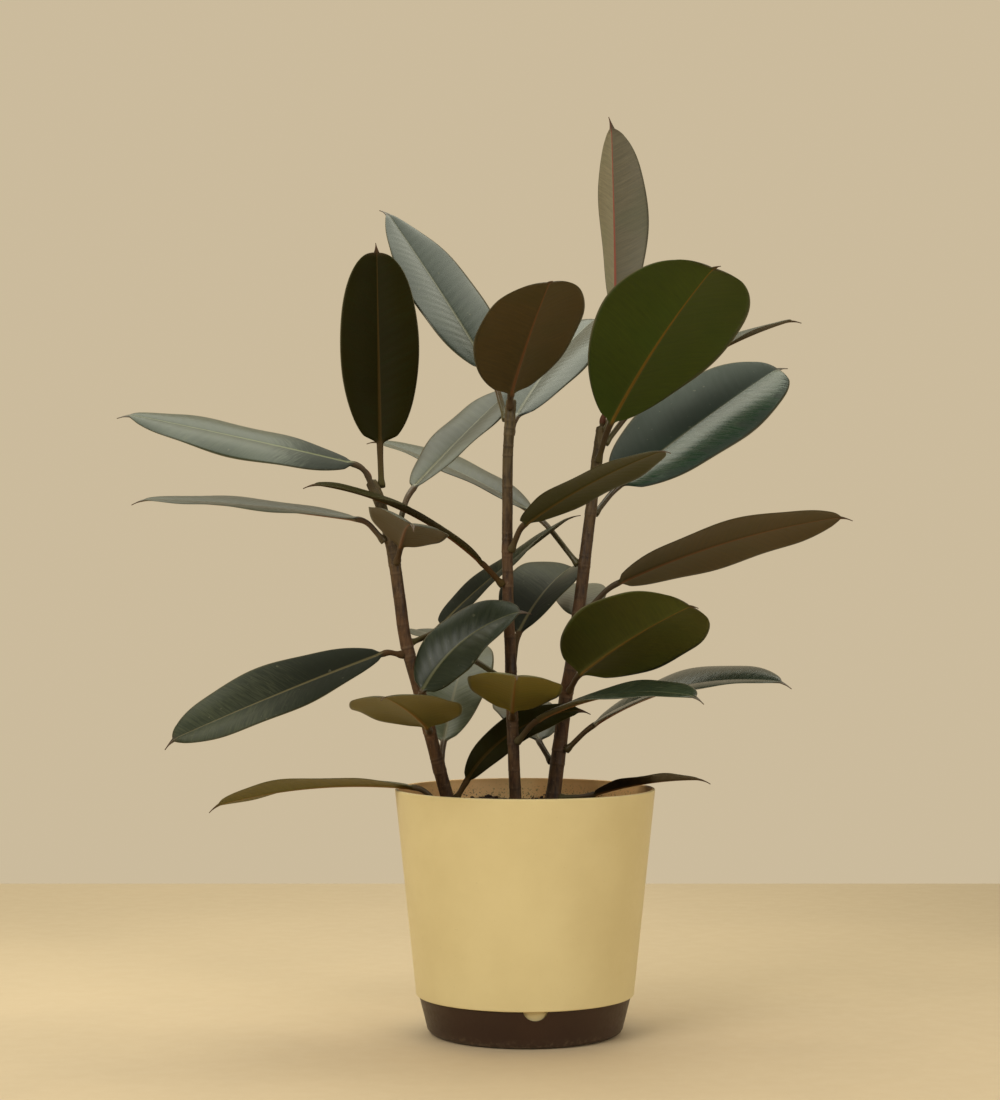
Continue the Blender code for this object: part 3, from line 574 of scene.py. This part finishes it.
# bark: brown and rough below, greener and smoother above, paler on the leaf scars, reddish on the bud
def barkSkin():
    w = Wiring("stem bark")
    spot = w.node("TexCoord").outputs["Object"]
    long = w.node("Mapping", {"Vector": spot, "Scale": (1.0, 1.0, 0.22)}).outputs[0]
    grain = w.noise(long, 420.0, 4.0)
    patch = w.noise(spot, 55.0, 3.0)
    dots = w.ramp(w.noise(spot, 700.0, 1.0), 0.66, 0.74)
    grainShare = w.ramp(grain, 0.3, 0.7)
    bark = w.mix(grainShare, barkColours["dark"], barkColours["light"])
    bark = w.mix(w.math("MULTIPLY", w.ramp(patch, 0.45, 0.7), 0.6), bark, barkColours["patch"])
    young = w.mix(grainShare, barkColours["youngDark"], barkColours["youngLight"])
    height = w.math("MULTIPLY_ADD", patch, 0.25, w.attribute("heightShare"))
    bark = w.mix(w.ramp(height, 0.70, 1.12), bark, young)
    bark = w.mix(w.math("MULTIPLY", dots, 0.5), bark, barkColours["dots"])
    scar = w.math("MULTIPLY", w.attribute("scar"), w.ramp(patch, 0.3, 0.6, 0.05, 0.4))
    bark = w.mix(scar, bark, barkColours["scar"])
    bark = w.mix(w.math("MULTIPLY", w.attribute("crease"), 0.55), bark, barkColours["crease"])
    bark = w.mix(w.ramp(w.attribute("bud"), 0.0, 0.25), bark, barkColours["bud"])
    rough = w.ramp(patch, 0.3, 0.7, 0.50, 0.72)
    w.set(Base_Color=bark, Roughness=rough, Normal=w.bump(grain, 0.5, 0.0006), Specular_IOR_Level=0.3)
    return w.material


# A stem as a tube along its line. Its radius swells where a leaf sits, with a raised ring at each
# leaf scar (a narrow bell curve of the height) and a slow unevenness (sines of height and angle).
# Above its top a bud goes on in the same direction: a half sine of the radius that runs out to a point.
def makeStem(name, bark):
    line, radii = stemLine(name)
    count = int((line[-1, 2] - line[0, 2]) / stemDetail["ringStep"])
    z = np.linspace(line[0, 2], line[-1, 2], count)
    centre = np.stack([np.interp(z, line[:, 2], line[:, k]) for k in range(3)], axis=-1)
    ahead = np.gradient(centre, axis=0)
    ahead /= np.linalg.norm(ahead, axis=1)[:, None]
    side = np.cross(ahead, np.array([0.0, 1.0, 0.0]))
    side /= np.linalg.norm(side, axis=1)[:, None]
    over = np.cross(ahead, side)
    nodes = np.array([soilHeight + spec[1] for spec in leaves.values() if spec[0] == name], dtype=float)
    random = np.random.default_rng(len(name))
    old = np.arange(soilHeight + 6.0, z[-1] - 8.0, stemDetail["scarSpacing"])
    old = old + random.uniform(-5.5, 5.5, len(old))
    ring = np.exp(-((z[:, None] - nodes + 2.4) / 0.7) ** 2).sum(axis=1)
    worn = random.uniform(0.2, 0.8, len(old))
    ring = ring + (worn * np.exp(-((z[:, None] - old) / 0.6) ** 2)).sum(axis=1)
    below = (worn * np.exp(-((z[:, None] - old + 1.3) / 0.6) ** 2)).sum(axis=1)
    swell = np.exp(-((z[:, None] - nodes) / 3.2) ** 2).max(axis=1)
    sides = stemDetail["sides"]
    turn = 2.0 * math.pi * np.arange(sides) / sides
    radius = np.interp(z, line[:, 2], radii)
    radius = radius * (1.0 + (stemDetail["nodeSwell"] - 1.0) * swell)
    radius = radius + stemDetail["scarHeight"] * np.clip(ring, 0.0, 1.0) - 0.10 * np.clip(below, 0.0, 1.0)
    radius = radius[:, None] * (1.0 + 0.018 * np.sin(3.0 * turn + z[:, None] / 9.0)
                                + 0.012 * np.sin(5.0 * turn - z[:, None] / 4.0))
    top = smoothStep((z[-1] - z) / 2.0) ** 0.5
    radius = radius * np.maximum(top, 0.40)[:, None]
    budShare = np.linspace(0.0, 1.0, stemDetail["budRings"] + 1)[1:]
    budRadius = radius[-1].mean() * (1.0 - budShare) ** 0.8 * (1.0 + 1.1 * np.sin(math.pi * budShare))
    budRadius = budRadius + 0.15
    centre = np.vstack([centre, centre[-1] + ahead[-1] * stemDetail["budLength"] * budShare[:, None]])
    radius = np.vstack([radius, budRadius[:, None] * np.ones(sides)])
    side, over = [np.vstack([way, np.repeat(way[-1:], len(budShare), axis=0)]) for way in (side, over)]
    rings = centre[:, None, :] + radius[:, :, None] * (
        side[:, None, :] * np.cos(turn)[None, :, None] + over[:, None, :] * np.sin(turn)[None, :, None])
    quads, fans = tubeFaces(len(centre), sides)
    piece = makeObject("stem" + name.title(), withEnds(rings[:, ::-1] * mm), quads, fans)
    share = (z - soilHeight) / (z[-1] - soilHeight)
    plain = np.zeros(len(budShare))
    perRing = {
        "heightShare": np.append(share, plain + 1.0),
        "scar": np.append(np.clip(ring, 0.0, 1.0), plain),
        "crease": np.append(np.clip(below, 0.0, 1.0), plain),
        "bud": np.append(z * 0.0, budShare),
    }
    for key, values in perRing.items():
        addAttribute(piece, key, np.append(np.repeat(values, sides), [values[0], values[-1]]))
    finishPiece(piece, bark, "stem", "stem_" + name)


bark = barkSkin()
for name in stems:
    makeStem(name, bark)
print("stems made")


planter = {
    "rimRadius": 95.0,  # mm
    "rimHeight": 178.0,
    "lowRadius": 79.5,
    "lowHeight": 28.0,
    "wall": 2.4,
    "floorHeight": 10.5,
    "floorThickness": 2.5,
    "skirtGap": 0.4,
    "trayRadius": 77.4,
    "trayFootRadius": 71.8,
    "trayFootHeight": 5.0,
    "trayWall": 1.9,
    "trayFloor": 2.2,
    "notchRadius": 9.2,
    "notchRise": 2.2,
    "notchAzimuth": -85.0,
    "drainRadius": 4.0,
    "drainCircle": 42.0,
    "drainCount": 6,
    "steps": 160,
}


# a profile of (radius, height) turned about the upright axis, with extra points by each corner so
# that flat stretches stay flat and corners stay tight
def turnedPiece(name, profile, steps):
    points = np.array(profile, dtype=float)
    dense = [points[0]]
    for start, end in zip(points[:-1], points[1:]):
        length = np.linalg.norm(end - start)
        if length > 1.2:
            dense += [start + (end - start) * 0.3 / length, end - (end - start) * 0.3 / length]
        dense.append(end)
    dense = np.array(dense)
    keep = dense[:, 0] > 1e-6
    ringsOnly = dense[keep]
    turn = 2.0 * math.pi * np.arange(steps) / steps
    rings = np.stack([ringsOnly[:, 0, None] * np.cos(turn), ringsOnly[:, 0, None] * np.sin(turn),
                      ringsOnly[:, 1, None] * np.ones(steps)], axis=-1)
    quads, fans = tubeFaces(len(ringsOnly), steps)
    points = withEnds(rings[:, ::-1] * mm)
    points[-2:, :2] = 0.0
    points[-2, 2] = ringsOnly[0, 1] * mm
    points[-1, 2] = ringsOnly[-1, 1] * mm
    return makeObject(name, points, quads, fans)


# cuts round holes with a hidden cutter, which is then removed
def cutWith(piece, points, quads, fans):
    cutter = makeObject("cutter", points, quads, fans)
    boolean = piece.modifiers.new("cut", "BOOLEAN")
    boolean.operation = "DIFFERENCE"
    boolean.solver = "EXACT"
    boolean.object = cutter
    shape = bpy.data.meshes.new_from_object(piece.evaluated_get(bpy.context.evaluated_depsgraph_get()))
    piece.modifiers.clear()
    piece.data = shape
    bpy.data.objects.remove(cutter)
    shape.set_sharp_from_angle(angle=math.radians(40.0))


def roundCutter(middle, axis, radius, reach, sides):
    axis = np.array(axis, dtype=float)
    axis /= np.linalg.norm(axis)
    side = np.cross(axis, np.array([0.3, 0.2, 0.9]))
    side /= np.linalg.norm(side)
    over = np.cross(axis, side)
    turn = 2.0 * math.pi * np.arange(sides) / sides
    circle = radius * (side[None, :] * np.cos(turn)[:, None] + over[None, :] * np.sin(turn)[:, None])
    rings = np.stack([middle - axis * reach + circle, middle + axis * reach + circle])
    quads, fans = tubeFaces(2, sides)
    return withEnds(rings[:, ::-1] * mm), quads, fans


def trayInner(height):
    top = planter["lowHeight"] - 0.3
    share = (height - planter["trayFootHeight"]) / (top - planter["trayFootHeight"])
    spread = planter["trayRadius"] - planter["trayFootRadius"]
    return planter["trayFootRadius"] + spread * share - planter["trayWall"]


def wallInner(height):
    share = (height - planter["lowHeight"]) / (planter["rimHeight"] - planter["lowHeight"])
    return planter["lowRadius"] + (planter["rimRadius"] - planter["lowRadius"]) * share - planter["wall"]


def arc(middle, radius, start, end, count):
    turn = np.radians(np.linspace(start, end, count))
    return [(middle[0] + radius * math.cos(t), middle[1] + radius * math.sin(t)) for t in turn]


def makeShell(material):
    p = planter
    under = p["floorHeight"] - p["floorThickness"]
    low = trayInner(under) - p["skirtGap"]
    step = trayInner(p["lowHeight"]) - p["skirtGap"]
    rim, top = p["rimRadius"], p["rimHeight"]
    profile = [(low - p["wall"] - 60.0, p["floorHeight"]), (low - p["wall"] - 1.0, p["floorHeight"])]
    profile += arc((low - p["wall"] - 1.0, p["floorHeight"] + 1.0), 1.0, -90.0, 0.0, 5)
    profile += [(step - p["wall"], p["lowHeight"] + 1.5), (wallInner(36.0), 36.0)]
    profile += [(wallInner(top) - 0.1, top - 3.0)]
    profile += arc((rim - p["wall"] + 0.75, top - 0.8), 0.8, 180.0, 90.0, 6)
    profile += arc((rim - 0.9, top - 0.9), 0.9, 90.0, 2.0, 7)
    profile += [(p["lowRadius"] + 0.12, p["lowHeight"] + 1.2)]
    profile += arc((p["lowRadius"] - 0.75, p["lowHeight"] + 0.8), 0.8, 0.0, -90.0, 5)
    profile += [(step, p["lowHeight"])]
    profile += arc((low - 1.0, under + 1.0), 1.0, 0.0, -90.0, 5)
    profile += [(8.0, under)]
    shell = turnedPiece("planterShell", profile[::-1], p["steps"])
    for i in range(p["drainCount"]):
        angle = 2.0 * math.pi * (i + 0.5) / p["drainCount"]
        middle = np.array([p["drainCircle"] * math.cos(angle), p["drainCircle"] * math.sin(angle), 9.5])
        cutWith(shell, *roundCutter(middle, (0, 0, 1), p["drainRadius"], 5.0, 24))
    finishPiece(shell, material, "shell", "planter_shell")


def makeTray(material):
    p = planter
    top = p["lowHeight"] - 0.3
    foot, wall = p["trayFootRadius"], p["trayWall"]
    profile = [(8.0, p["trayFloor"]), (foot - wall - 4.2, p["trayFloor"])]
    profile += [(foot - wall - 1.2, 3.6), (foot - wall, 5.8), (p["trayRadius"] - wall, top - 0.6)]
    profile += arc((p["trayRadius"] - wall + 0.5, top - 0.5), 0.5, 180.0, 90.0, 4)
    profile += arc((p["trayRadius"] - 0.5, top - 0.5), 0.5, 90.0, 5.0, 4)
    profile += [(foot + 0.1, p["trayFootHeight"] + 0.4), (foot - 0.35, 3.6), (foot - 1.5, 2.0)]
    profile += [(foot - 3.2, 0.7), (foot - 5.2, 0.0), (8.0, 0.0)]
    tray = turnedPiece("planterTray", profile[::-1], p["steps"])
    angle = math.radians(p["notchAzimuth"])
    out = np.array([math.cos(angle), math.sin(angle), 0.0])
    middle = out * (p["trayRadius"] - 1.0) + np.array([0.0, 0.0, p["lowHeight"] + p["notchRise"]])
    cutWith(tray, *roundCutter(middle, out, p["notchRadius"], 7.0, 64))
    finishPiece(tray, material, "tray", "planter_tray")


# moulded plastic: faint mottling and scuffs, and soil dust low on the inner wall; the inner wall's bright
# tan is partly soil dust and partly painted light
def shellPlastic():
    w = Wiring("cream plastic")
    spot = w.node("TexCoord").outputs["Object"]
    xyz = w.node("SeparateXYZ", {0: spot})
    flat = w.vector(xyz.outputs[0], xyz.outputs[1], 0.0)
    distance = w.node("VectorMath", {0: flat}, operation="LENGTH").outputs["Value"]
    slope = (planter["rimRadius"] - planter["lowRadius"]) / (planter["rimHeight"] - planter["lowHeight"])
    wallHere = w.math("MULTIPLY_ADD", xyz.outputs[2], slope,
                      (planter["lowRadius"] - slope * planter["lowHeight"] - 1.5) * mm)
    inner = w.math("MULTIPLY", w.math("GREATER_THAN", wallHere, distance),
                   w.math("GREATER_THAN", xyz.outputs[2], (planter["lowHeight"] + 4.0) * mm))
    mottle = w.noise(spot, 18.0, 4.0)
    fine = w.noise(spot, 260.0, 3.0)
    grit = w.noise(spot, 620.0, 2.0, 0.7)
    cream = w.mix(w.ramp(mottle, 0.3, 0.7), (0.690, 0.575, 0.300), (0.735, 0.620, 0.332))
    cream = w.mix(w.math("MULTIPLY", w.ramp(grit, 0.70, 0.76), 0.22), cream, (0.30, 0.22, 0.12))
    # inner wall: bright tan, partly soil dust and partly painted light
    dustAndPaintedLight = w.mix(w.ramp(mottle, 0.35, 0.65), (0.86, 0.50, 0.20), (0.92, 0.61, 0.27))
    low = w.ramp(w.math("MULTIPLY_ADD", fine, 0.012, xyz.outputs[2]), 0.168, 0.182, 1.0, 0.0)
    dustAndPaintedLight = w.mix(w.math("MULTIPLY", low, w.ramp(grit, 0.56, 0.63)), dustAndPaintedLight, (0.045, 0.022, 0.012))
    leftSide = w.math("MULTIPLY", w.ramp(xyz.outputs[0], -0.045, -0.080), low)
    leftSide = w.math("MULTIPLY", leftSide, w.ramp(fine, 0.40, 0.58, 0.2, 0.85))
    dustAndPaintedLight = w.mix(leftSide, dustAndPaintedLight, (0.42, 0.15, 0.055))
    skin = w.mix(inner, cream, dustAndPaintedLight)
    normal = w.bump(fine, 0.05, 0.0004)
    w.set(Base_Color=skin, Roughness=w.ramp(fine, 0.3, 0.7, 0.40, 0.50), Normal=normal, IOR=1.45)
    return w.material


def trayPlastic():
    w = Wiring("dark brown plastic")
    spot = w.node("TexCoord").outputs["Object"]
    height = w.node("SeparateXYZ", {0: spot}).outputs[2]
    mottle = w.noise(spot, 22.0, 4.0)
    fine = w.noise(spot, 300.0, 3.0)
    skin = w.mix(w.ramp(mottle, 0.3, 0.7), (0.028, 0.0105, 0.0045), (0.036, 0.0145, 0.0065))
    dust = w.math("MULTIPLY", w.ramp(height, 0.009, 0.001), w.ramp(fine, 0.45, 0.70, 0.05, 0.5))
    skin = w.mix(dust, skin, (0.17, 0.12, 0.075))
    normal = w.bump(fine, 0.06, 0.0004)
    w.set(Base_Color=skin, Roughness=w.ramp(fine, 0.3, 0.7, 0.38, 0.48), Normal=normal, IOR=1.45)
    return w.material


makeShell(shellPlastic())
makeTray(trayPlastic())
print("planter made")


soilDetail = {
    "bump": 2.2,  # mm
    "clearance": 0.4,
    "crumbs": 620,
    "crumbSize": (0.5, 1.9),
    "seed": 7,
    "topRings": 70,
    "steps": 200,
    "dark": (0.010, 0.006, 0.004),
    "light": (0.055, 0.030, 0.016),
    "patch": (0.090, 0.046, 0.022),
    "barkCrumb": (0.14, 0.060, 0.026),
}


# height of the soil's top: two long sines, one short, and a random grain, in mm about its mean
def soilBump(x, y):
    wave = np.sin(x * 0.095 + 1.3) * np.cos(y * 0.110 - 0.4)
    fine = np.sin(x * 0.26 - 0.7) * np.sin(y * 0.24 + 2.1)
    grain = np.sin(x * 0.9 + 2.0 * np.sin(y * 0.31)) * np.cos(y * 0.8 + 1.7 * np.sin(x * 0.27))
    return soilDetail["bump"] * (0.60 * wave + 0.32 * fine + 0.16 * grain)


def soilSkin():
    w = Wiring("potting soil")
    spot = w.node("TexCoord").outputs["Object"]
    lump = w.noise(spot, 240.0, 5.0, 0.65)
    patch = w.noise(spot, 60.0, 3.0)
    tint = w.attribute("tint")
    soil = w.mix(w.ramp(lump, 0.35, 0.65), soilDetail["dark"], soilDetail["light"])
    soil = w.mix(w.math("MULTIPLY", w.ramp(patch, 0.5, 0.7), 0.5), soil, soilDetail["patch"])
    soil = w.mix(w.ramp(tint, 0.72, 0.95), soil, soilDetail["barkCrumb"])
    w.set(Base_Color=soil, Roughness=0.95, Normal=w.bump(lump, 0.9, 0.0016))
    return w.material


# soil body: a turned profile whose top rings follow soilBump
def makeSoil(material):
    gap = soilDetail["clearance"]
    low = trayInner(planter["floorHeight"] - planter["floorThickness"]) - planter["skirtGap"]
    low = low - planter["wall"] - gap
    step = trayInner(planter["lowHeight"]) - planter["skirtGap"] - planter["wall"] - gap
    edge = soilHeight - 1.5
    floor = planter["floorHeight"] + 0.3
    bottom = [(6.0, floor), (low - 0.6, floor), (low - 0.3, floor + 0.6),
              (step, planter["lowHeight"] + 1.5), (wallInner(36.0) - gap, 36.0),
              (wallInner(edge) - gap, edge)]
    outermost = wallInner(soilHeight) * 0.985
    tops = [(r, soilHeight) for r in np.linspace(outermost, 1.0, soilDetail["topRings"])]
    profile = np.array(bottom + tops)
    steps = soilDetail["steps"]
    turn = 2.0 * math.pi * np.arange(steps) / steps
    x = profile[:, 0, None] * np.cos(turn)
    y = profile[:, 0, None] * np.sin(turn)
    z = profile[:, 1, None] * np.ones(steps)
    onTop = np.arange(len(profile)) >= len(bottom)
    z = z + soilBump(x, y) * onTop[:, None]
    rings = np.stack([x, y, z], axis=-1)
    quads, fans = tubeFaces(len(profile), steps)
    soil = makeObject("soilBody", withEnds(rings[:, ::-1] * mm), quads, fans)
    addAttribute(soil, "tint", np.zeros(len(soil.data.vertices)))
    finishPiece(soil, material, "soil", "soil")


# crumbs: small icosahedra, each stretched, turned and set on the soil's top
def makeCrumbs(material):
    random = np.random.default_rng(soilDetail["seed"])
    g = (1.0 + math.sqrt(5.0)) / 2.0
    corners = np.array([(-1, g, 0), (1, g, 0), (-1, -g, 0), (1, -g, 0), (0, -1, g), (0, 1, g),
                        (0, -1, -g), (0, 1, -g), (g, 0, -1), (g, 0, 1), (-g, 0, -1), (-g, 0, 1)])
    corners = corners / np.linalg.norm(corners[0])
    sides = np.array([(0, 11, 5), (0, 5, 1), (0, 1, 7), (0, 7, 10), (0, 10, 11), (1, 5, 9), (5, 11, 4),
                      (11, 10, 2), (10, 7, 6), (7, 1, 8), (3, 9, 4), (3, 4, 2), (3, 2, 6), (3, 6, 8),
                      (3, 8, 9), (4, 9, 5), (2, 4, 11), (6, 2, 10), (8, 6, 7), (9, 8, 1)])
    count = soilDetail["crumbs"]
    limit = wallInner(soilHeight) - 2.0
    spread = np.sqrt(random.uniform(0.0, 1.0, count)) * limit
    nearWall = random.uniform(0.0, 1.0, count) < 0.45
    spread = np.where(nearWall, limit - 5.0 * random.uniform(0.0, 1.0, count) ** 2, spread)
    turn = random.uniform(0.0, 2.0 * math.pi, count)
    x, y = spread * np.cos(turn), spread * np.sin(turn)
    small, large = soilDetail["crumbSize"]
    size = small + (large - small) * random.uniform(0.0, 1.0, count) ** 2.2
    z = soilHeight + soilBump(x, y) + 0.25 * size
    stretch = random.uniform(0.6, 1.3, (count, 1, 3))
    jitter = 1.0 + random.uniform(-0.18, 0.18, (count, 12, 1))
    a, b = random.uniform(0, 2 * math.pi, (2, count))
    shape = corners[None] * stretch * jitter * size[:, None, None]
    cosA, sinA = np.cos(a)[:, None], np.sin(a)[:, None]
    cosB, sinB = np.cos(b)[:, None], np.sin(b)[:, None]
    sx = shape[..., 0] * cosA - shape[..., 1] * sinA
    sy = shape[..., 0] * sinA + shape[..., 1] * cosA
    sz = shape[..., 2] * cosB - sy * sinB
    sy = shape[..., 2] * sinB + sy * cosB
    points = np.stack([sx + x[:, None], sy + y[:, None], sz + z[:, None]], axis=-1).reshape(-1, 3) * mm
    faces = (sides[None] + 12 * np.arange(count)[:, None, None]).reshape(-1, 3)
    crumbs = makeObject("soilCrumbs", points, faces)
    addAttribute(crumbs, "tint", np.repeat(random.uniform(0.0, 1.0, count), 12))
    finishPiece(crumbs, material, "soil", "soil")


soilMaterial = soilSkin()
makeSoil(soilMaterial)
makeCrumbs(soilMaterial)
print("soil made")


studio = {
    "floorBack": 0.87,  # metres behind the planter where the floor ends
    "floorColour": (0.590, 0.468, 0.308),
    "wallColour": (0.600, 0.497, 0.335),
    "frontColour": (0.13, 0.115, 0.085),
    "cameraPlace": (-0.0183, -1.683, 0.317),
    "focalLength": 75.3,
    "shift": 0.0436,
    "lamps": {
        "overhead": dict(place=(-0.15, 0.45, 1.75), aim=(-0.15, 0.45, 0.0), size=(2.2, 1.7), power=27.0,
                         tint=(0.97, 1.0, 0.86)),
        "key": dict(place=(-1.5, -1.9, 1.7), aim=(0.0, 0.0, 0.3), size=(1.4, 1.2), power=42.0,
                    tint=(1.0, 0.975, 0.90)),
        "fill": dict(place=(1.7, -1.9, 1.1), aim=(0.0, 0.0, 0.25), size=(1.2, 1.2), power=20.0,
                     tint=(1.0, 0.97, 0.90)),
    },
}


def makeFloor():
    back = studio["floorBack"]
    points = np.array([(-3.0, -3.2, 0.0), (3.0, -3.2, 0.0), (3.0, back, 0.0), (-3.0, back, 0.0)])
    floor = makeObject("floor", points, np.array([[0, 1, 2, 3]]))
    w = Wiring("pale floor")
    spot = w.node("TexCoord").outputs["Object"]
    xyz = w.node("SeparateXYZ", {0: spot})
    wide = w.noise(spot, 2.2, 4.0)
    fine = w.noise(spot, 60.0, 3.0)
    base = np.array(studio["floorColour"])
    tone = w.mix(w.ramp(wide, 0.3, 0.7), base * 0.94, base * 1.05)
    # painted shade: the floor is darker towards the right and towards the back
    tone = w.mix(w.ramp(xyz.outputs[0], 0.15, 0.80, 0.0, 0.75), tone, base * 0.66)
    tone = w.mix(w.ramp(xyz.outputs[1], 0.05, 0.75, 0.0, 0.5), tone, base * 0.76)
    w.set(Base_Color=tone, Roughness=w.ramp(fine, 0.3, 0.7, 0.6, 0.75))
    floor.data.materials.append(w.material)


# the room: a warm pale wall behind, darker towards the camera's side
def makeRoom():
    world = bpy.data.worlds.new("studio")
    bpy.context.scene.world = world
    world.use_nodes = True
    tree = world.node_tree
    background = tree.nodes["Background"]
    spot = tree.nodes.new("ShaderNodeTexCoord")
    parts = tree.nodes.new("ShaderNodeSeparateXYZ")
    ramp = tree.nodes.new("ShaderNodeMapRange")
    mix = tree.nodes.new("ShaderNodeMix")
    mix.data_type = "RGBA"
    ramp.interpolation_type = "SMOOTHSTEP"
    ramp.inputs["From Min"].default_value = -0.9
    ramp.inputs["From Max"].default_value = 0.6
    mix.inputs[6].default_value = (*studio["frontColour"], 1.0)
    mix.inputs[7].default_value = (*studio["wallColour"], 1.0)
    tree.links.new(spot.outputs["Generated"], parts.inputs[0])
    tree.links.new(parts.outputs[1], ramp.inputs["Value"])
    tree.links.new(ramp.outputs["Result"], mix.inputs[0])
    tree.links.new(mix.outputs[2], background.inputs["Color"])
    background.inputs["Strength"].default_value = 1.0


def softLight(name, place, aim, size, power, tint):
    data = bpy.data.lights.new(name, "AREA")
    data.shape = "RECTANGLE"
    data.size, data.size_y = size
    data.energy = power
    data.color = tint
    lamp = bpy.data.objects.new(name, data)
    bpy.context.scene.collection.objects.link(lamp)
    direction = np.array(aim, dtype=float) - np.array(place, dtype=float)
    lamp.location = place
    lamp.rotation_euler = Vector(direction).to_track_quat("-Z", "Y").to_euler()


def makeCamera():
    data = bpy.data.cameras.new("camera")
    data.lens = studio["focalLength"]
    data.sensor_width = 36.0
    data.shift_y = studio["shift"]
    data.clip_end = 50.0
    camera = bpy.data.objects.new("camera", data)
    camera.location = studio["cameraPlace"]
    camera.rotation_euler = (math.radians(90.0), 0.0, 0.0)
    bpy.context.scene.collection.objects.link(camera)
    bpy.context.scene.camera = camera


makeFloor()
makeRoom()
for name, lamp in studio["lamps"].items():
    softLight(name, **lamp)
makeCamera()
bpy.context.scene.view_settings.view_transform = "Standard"
print("studio made")

bpy.context.view_layer.update()
